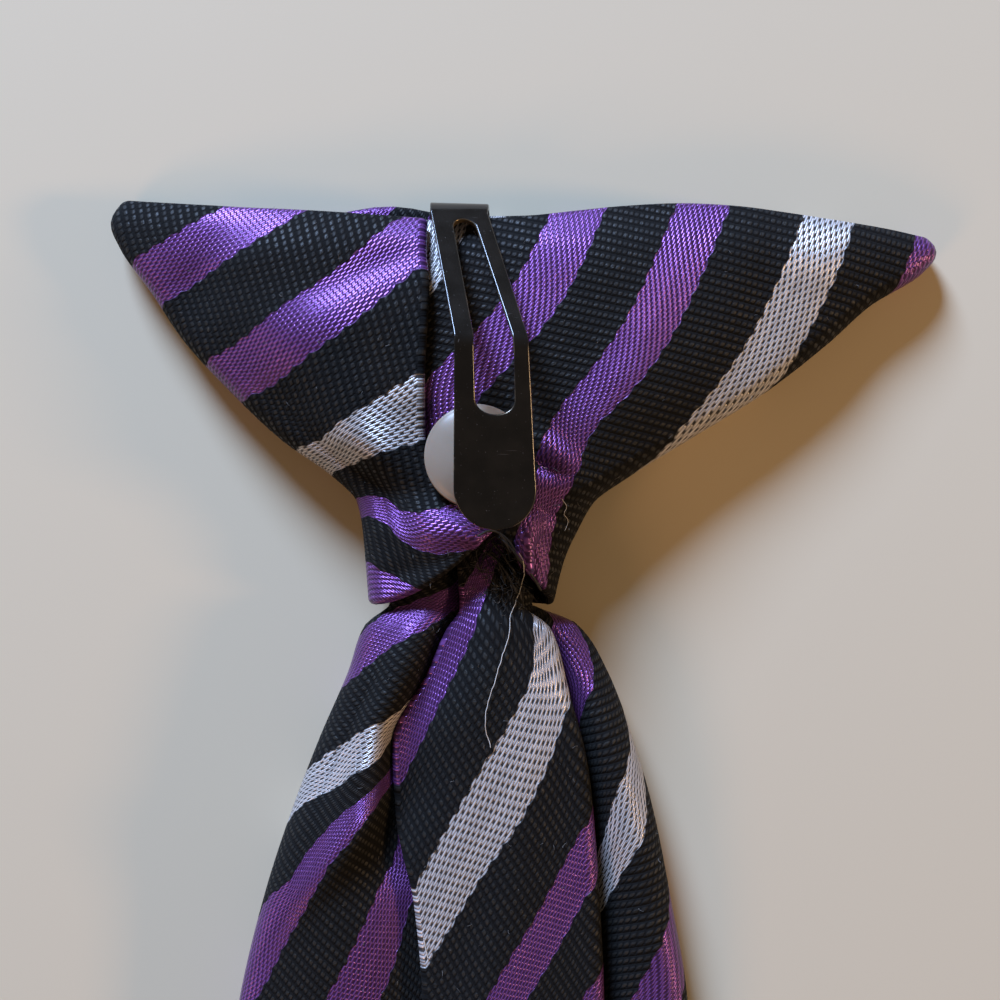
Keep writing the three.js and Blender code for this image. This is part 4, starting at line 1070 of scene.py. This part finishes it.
lacquer, w, shader = new_finish("black_steel")
spot = w.node("ShaderNodeTexCoord").outputs["Object"]
worn = w.node("ShaderNodeAttribute", attribute_name="worn_edge").outputs["Fac"]
patches = w.mottle(spot, 420, 3)
specks = w.ramp(w.mottle(spot, 5200, 1), 0.73, 0.80)
turned = w.fed("ShaderNodeMapping", {"Vector": spot, "Rotation": (0, 0, 0.5), "Scale": (260, 5200, 260)})
scratches = w.ramp(w.mottle(turned.outputs[0], 1.0), 0.70, 0.76)
scratches = w.times(scratches, w.ramp(patches, 0.52, 0.62))
wear = w.times(worn, w.ramp(patches, 0.46, 0.72))
coat = w.blend(w.ramp(patches, 0.3, 0.7), (0.0055, 0.0048, 0.0040, 1), (0.0085, 0.0070, 0.0055, 1))
coat = w.blend(w.times(scratches, 0.35), coat, (0.10, 0.09, 0.08, 1))
coat = w.blend(w.times(specks, 0.30), coat, (0.16, 0.15, 0.14, 1))
w.feed(shader.inputs["Base Color"], w.blend(wear, coat, (0.20, 0.15, 0.09, 1)))
w.feed(shader.inputs["Metallic"], w.times(wear, 0.85))
w.feed(shader.inputs["Roughness"], w.ramp(patches, 0.2, 0.8, 0.16, 0.26, smooth=False))
height = w.plus(w.times(patches, 0.020), w.times(scratches, -0.004))
w.feed(shader.inputs["Normal"], w.bumps(height, MM, 0.5))
clip.data.materials.clear()
clip.data.materials.append(lacquer)
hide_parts("clip")
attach(clip, "root")

# Rivet
# One moulded button of ivory plastic that holds the clip to the knot. Its low dome shows on the knot's back,
# and its stem goes through the right flap and the hole of the clip's leg to a foot inside.
BUTTON_RADIUS = 4.65
BUTTON_SEAT = 9.9
BUTTON_RIM = 0.45
BUTTON_DOME = 0.85
DOME_POWER = 0.8  # how full the dome is
UNDER_ROUND = 0.25
STEM_RADIUS = 1.3
FOOT_RADIUS = 2.1
FOOT_LOW = 4.2
FOOT_HIGH = 5.1
FOOT_SLOPE = 0.3
FOOT_ROUND = 0.15
BUTTON_SIDES = 96
turned_line = [
    (0, FOOT_LOW), (FOOT_RADIUS - FOOT_ROUND, FOOT_LOW), (FOOT_RADIUS, FOOT_LOW + FOOT_ROUND),
    (FOOT_RADIUS, FOOT_HIGH), (STEM_RADIUS, FOOT_HIGH + FOOT_SLOPE), (STEM_RADIUS, BUTTON_SEAT),
    (BUTTON_RADIUS - UNDER_ROUND, BUTTON_SEAT),
]
for angle in np.linspace(-math.pi / 3, math.pi / 2, 8):
    turned_line.append((
        BUTTON_RADIUS - BUTTON_RIM / 2 * (1 - math.cos(angle)),
        BUTTON_SEAT + BUTTON_RIM / 2 * (1 + math.sin(angle)),
    ))
edge = turned_line[-1]
for share in np.linspace(0.96, 0, 12):
    turned_line.append((edge[0] * share, edge[1] + BUTTON_DOME * (1 - share ** 2) ** DOME_POWER))
button_mesh = bpy.data.meshes.new("rivet_button")
button = bmesh.new()
rings = []
for radius, z in turned_line:
    count = 1 if radius == 0 else BUTTON_SIDES
    angles = [2 * math.pi * k / BUTTON_SIDES for k in range(count)]
    ring = [(RIVET_AT[0] + radius * math.cos(a), RIVET_AT[1] + radius * math.sin(a), z) for a in angles]
    rings.append([button.verts.new(spot) for spot in placed(ring)])
for low, high in zip(rings, rings[1:]):
    for k in range(BUTTON_SIDES):
        after = (k + 1) % BUTTON_SIDES
        corners = [low[k % len(low)], low[after % len(low)], high[after % len(high)], high[k % len(high)]]
        button.faces.new(list(dict.fromkeys(corners)))
button.to_mesh(button_mesh)
button.free()
button_mesh.shade_smooth()
rivet_button = put("rivet_button", button_mesh)

ivory, w, shader = new_finish("ivory_plastic")
cloud = w.mottle(w.node("ShaderNodeTexCoord").outputs["Object"], 300, 4)
# The button's colour is painted far darker than ivory, as painted shade of the clip above it. The mottle is
# random tone.
w.feed(shader.inputs["Base Color"], w.blend(cloud, (0.22, 0.172, 0.125, 1), (0.30, 0.24, 0.18, 1)))
w.feed(shader.inputs["Roughness"], w.ramp(cloud, 0.3, 0.7, 0.28, 0.42, smooth=False))
shader.inputs["Subsurface Weight"].default_value = 0.15
shader.inputs["Subsurface Scale"].default_value = MM
w.feed(shader.inputs["Normal"], w.bumps(cloud, 0.02 * MM))
button_mesh.materials.append(ivory)
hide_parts("rivet")
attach(rivet_button, "root")

# Loose yarns
# Ends of sewing thread and satin yarn that the maker left uncut. They come out of the gather, where black
# thread holds the knot to the blade, and out of the cut ends of the stripes.
YARN_ENDS = (
    # name, yarn, radius, wobble, lift, spots of the view along it
    ("thread_end", "pale", 0.034, 0.50, 0.30, (
        (519, 552), (522.7, 561), (523.7, 567), (521.8, 584), (512, 611), (508, 636), (500.7, 663),
        (493, 686), (487, 707), (486, 728), (491, 747),
    )),
    ("thread_curl", "pale", 0.022, 0.25, 0.10, ((562, 499), (567, 507), (564, 514), (568, 521), (565, 531))),
    ("stripe_end", "pale", 0.05, 0.05, 0.05, ((424, 938), (426, 950), (428, 958))),
    ("gather_stitch_a", "black", 0.10, 0.08, 0.25, (
        (478, 536), (488, 531), (499, 533), (509, 541), (515, 551),
    )),
    ("gather_stitch_b", "black", 0.10, 0.08, 0.20, ((484, 546), (492, 538), (503, 540), (511, 552))),
    ("gather_stitch_c", "black", 0.09, 0.08, 0.22, ((489, 556), (495, 545), (505, 547), (510, 560))),
    ("gather_stitch_d", "black", 0.11, 0.10, 0.30, (
        (500, 534), (510, 546), (520, 560), (531, 574), (541, 590),
    )),
    ("gather_stitch_e", "black", 0.10, 0.12, 0.20, (
        (492, 542), (503, 555), (513, 570), (525, 588), (538, 602),
    )),
    ("gather_stitch_f", "black", 0.10, 0.10, 0.20, ((486, 552), (497, 560), (507, 574), (516, 592))),
    ("gather_stitch_g", "black", 0.09, 0.10, 0.15, ((482, 560), (490, 552), (500, 566), (505, 584))),
)
YARN_SPACING = 0.3  # mm between a yarn's rings


def on_cloth(px, py, lift):
    """The spot of the cloth seen at a spot of the view, raised by lift millimetres."""
    eye = camera.location
    x, y = seen(px, py, 0.0)
    ray = Vector(placed((x, y, 0.0))) - eye
    hits = []
    for cloth in (knot, hanging):
        found, spot, _, _ = cloth.ray_cast(eye, ray.normalized())
        if found:
            hits.append(spot)
    spot = max(hits, key=lambda h: h.z)
    return spot + Vector((0, 0, lift * MM))


def tube_along(w, curve, sides, radius):
    """A closed tube of even thickness along a curve."""
    ring = w.fed("GeometryNodeCurvePrimitiveCircle", {"Resolution": sides, "Radius": radius}).outputs[0]
    inputs = {"Curve": curve, "Profile Curve": ring, "Fill Caps": True}
    return w.fed("GeometryNodeCurveToMesh", inputs).outputs[0]


def real_and_finished(w, mesh, finish):
    """A mesh with its instances made real and its material set."""
    real = w.fed("GeometryNodeRealizeInstances", {0: mesh}).outputs[0]
    return w.fed("GeometryNodeSetMaterial", {"Geometry": real, "Material": finish}).outputs[0]


def yarn_tree():
    """Geometry Nodes: a yarn of even thickness along a curve, with a little wobble."""
    tree, w, given, result = new_tree(
        "GeometryNodeTree", "loose_yarn",
        (("Path", "Geometry"), ("Radius", "Float", 0.0001), ("Wobble", "Float", 0.0001),
         ("Spacing", "Float", 0.0003), ("Seed", "Int"), ("Finish", "Material")),
        (("Yarn", "Geometry"),),
    )
    inputs = {"Curve": given["Path"], "Length": given["Spacing"]}
    even = w.fed("GeometryNodeResampleCurve", inputs, mode="LENGTH")
    place = w.node("GeometryNodeInputPosition").outputs[0]
    inputs = {"Vector": place, "W": given["Seed"], "Scale": 700}
    waves = w.fed("ShaderNodeTexNoise", inputs, noise_dimensions="4D").outputs["Color"]
    centred = w.fed("ShaderNodeVectorMath", {0: waves, 1: (0.5, 0.5, 0.5)}, operation="SUBTRACT").outputs[0]
    swayed = w.fed("ShaderNodeVectorMath", {0: centred, "Scale": given["Wobble"]}, operation="SCALE")
    moved = w.fed("GeometryNodeSetPosition", {"Geometry": even.outputs[0], "Offset": swayed.outputs[0]})
    tube = tube_along(w, moved.outputs[0], 6, given["Radius"])
    w.feed(result[0], real_and_finished(w, tube, given["Finish"]))
    return tree


def yarn_finish(name, dark, light, roughness):
    made, w, shader = new_finish(name)
    fluff = w.mottle(w.node("ShaderNodeTexCoord").outputs["Object"], 4000)
    w.feed(shader.inputs["Base Color"], w.blend(fluff, dark, light))
    shader.inputs["Roughness"].default_value = roughness
    return made


def grown(piece, tree, values):
    """Runs a tree on a piece with its inputs set by name, and keeps the result as the piece's plain mesh."""
    modifier = piece.modifiers.new(tree.name, "NODES")
    modifier.node_group = tree
    for item in tree.interface.items_tree:
        if item.in_out == "INPUT" and item.name in values:
            modifier[item.identifier] = values[item.name]
    bpy.context.view_layer.update()
    return bpy.data.meshes.new_from_object(piece.evaluated_get(bpy.context.evaluated_depsgraph_get()))


finishes = {
    "pale": yarn_finish("pale_yarn", (0.42, 0.40, 0.36, 1), (0.66, 0.63, 0.58, 1), 0.6),
    "black": yarn_finish("black_yarn", (0.004, 0.004, 0.004, 1), (0.020, 0.020, 0.019, 1), 0.7),
}
loose_yarn = yarn_tree()
for number, (name, colour, radius, wobble, lift, spots) in enumerate(YARN_ENDS):
    path = bpy.data.curves.new(name, "CURVE")
    path.dimensions = "3D"
    line = path.splines.new("BEZIER")
    line.bezier_points.add(len(spots) - 1)
    for point, (px, py) in zip(line.bezier_points, spots):
        point.co = on_cloth(px, py, lift + radius)
        point.handle_left_type = point.handle_right_type = "AUTO"
    carrier = put(name + "_path", path)
    mesh = grown(carrier, loose_yarn, {
        "Radius": radius * MM, "Wobble": wobble * MM, "Spacing": YARN_SPACING * MM, "Seed": number + 1,
        "Finish": finishes[colour],
    })
    bpy.data.objects.remove(carrier)
    mesh.shade_smooth()
    strand = put(name, mesh)
    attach(strand, "root")

# Lint
# Broken fibre ends of the satin, fine as hair, that stand up from the cloth. They are thickest round the
# gather.
LINT_SEED = 7
LINT_SIDES = 3
UP_FROM = 0.3  # the least upward slope of the cloth that bears lint


def lint_tree():
    """Geometry Nodes: short curved fibres on a cloth, within a reach of a spot."""
    sizes = [(label, "Float") for label in ("Reach", "Density", "Length", "Radius")]
    tree, w, given, result = new_tree(
        "GeometryNodeTree", "lint",
        [("Cloth", "Geometry"), ("Spot", "Vector"), *sizes, ("Seed", "Int"), ("Finish", "Material")],
        [("Fibres", "Geometry")],
    )
    place = w.node("GeometryNodeInputPosition").outputs[0]
    apart = w.fed("ShaderNodeVectorMath", {0: place, 1: given["Spot"]}, operation="DISTANCE").outputs["Value"]
    near = w.math("LESS_THAN", apart, given["Reach"])
    up = w.fed("ShaderNodeSeparateXYZ", {0: w.node("GeometryNodeInputNormal").outputs[0]}).outputs[2]
    roots = w.fed("GeometryNodeDistributePointsOnFaces", {
        "Mesh": given["Cloth"], "Selection": w.times(near, w.math("GREATER_THAN", up, UP_FROM)),
        "Density": given["Density"], "Seed": given["Seed"],
    }).outputs["Points"]
    hair = w.fed("GeometryNodeCurveQuadraticBezier", {
        "Resolution": 4, "Start": (0, 0, -0.05), "Middle": (0.1, 0, 0.5), "End": (0.6, 0, 0.7),
    }).outputs[0]
    tube = tube_along(w, hair, LINT_SIDES, w.over(given["Radius"], given["Length"]))
    turn = w.fed("FunctionNodeRandomValue", {
        0: (-0.9, -0.9, 0), 1: (0.9, 0.9, 6.283), "Seed": given["Seed"],
    }, data_type="FLOAT_VECTOR").outputs[0]
    share = w.fed("FunctionNodeRandomValue", {2: 0.4, 3: 1.3}, data_type="FLOAT").outputs[1]
    placing = w.fed("GeometryNodeInstanceOnPoints", {
        "Points": roots, "Instance": tube, "Rotation": turn, "Scale": w.times(share, given["Length"]),
    }).outputs[0]
    w.feed(result[0], real_and_finished(w, placing, given["Finish"]))
    return tree


lint = lint_tree()
dusty = yarn_finish("lint_fibre", (0.05, 0.05, 0.05, 1), (0.32, 0.30, 0.27, 1), 0.7)
for name, cloth, spot, reach, per_mm2, length, radius, finish in (
    # name, cloth, middle of the patch, its reach, fibres per square mm, their length and radius, their finish
    ("gather_fluff", hanging, (1.2, -5.8, 8.0), 3.4, 9.0, 1.5, 0.030, finishes["black"]),
    ("gather_lint", hanging, (0.5, -5.5, 8.0), 5.0, 1.6, 0.9, 0.012, dusty),
    ("lobe_lint", hanging, (-1.0, -24.0, 7.0), 24.0, 0.10, 0.5, 0.012, dusty),
    ("neck_lint", knot, (1.5, -3.0, 9.0), 6.5, 0.9, 0.7, 0.012, dusty),
    ("flap_lint", knot, (2.0, 12.0, 9.0), 34.0, 0.05, 0.5, 0.012, dusty),
):
    lint_ground = put("lint_ground", cloth.data)
    mesh = grown(lint_ground, lint, {
        "Spot": tuple(placed(spot)), "Reach": reach * MM, "Density": per_mm2 / MM ** 2, "Length": length * MM,
        "Radius": radius * MM, "Seed": LINT_SEED, "Finish": finish,
    })
    bpy.data.objects.remove(lint_ground)
    fibres = put(name, mesh)
    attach(fibres, "root")
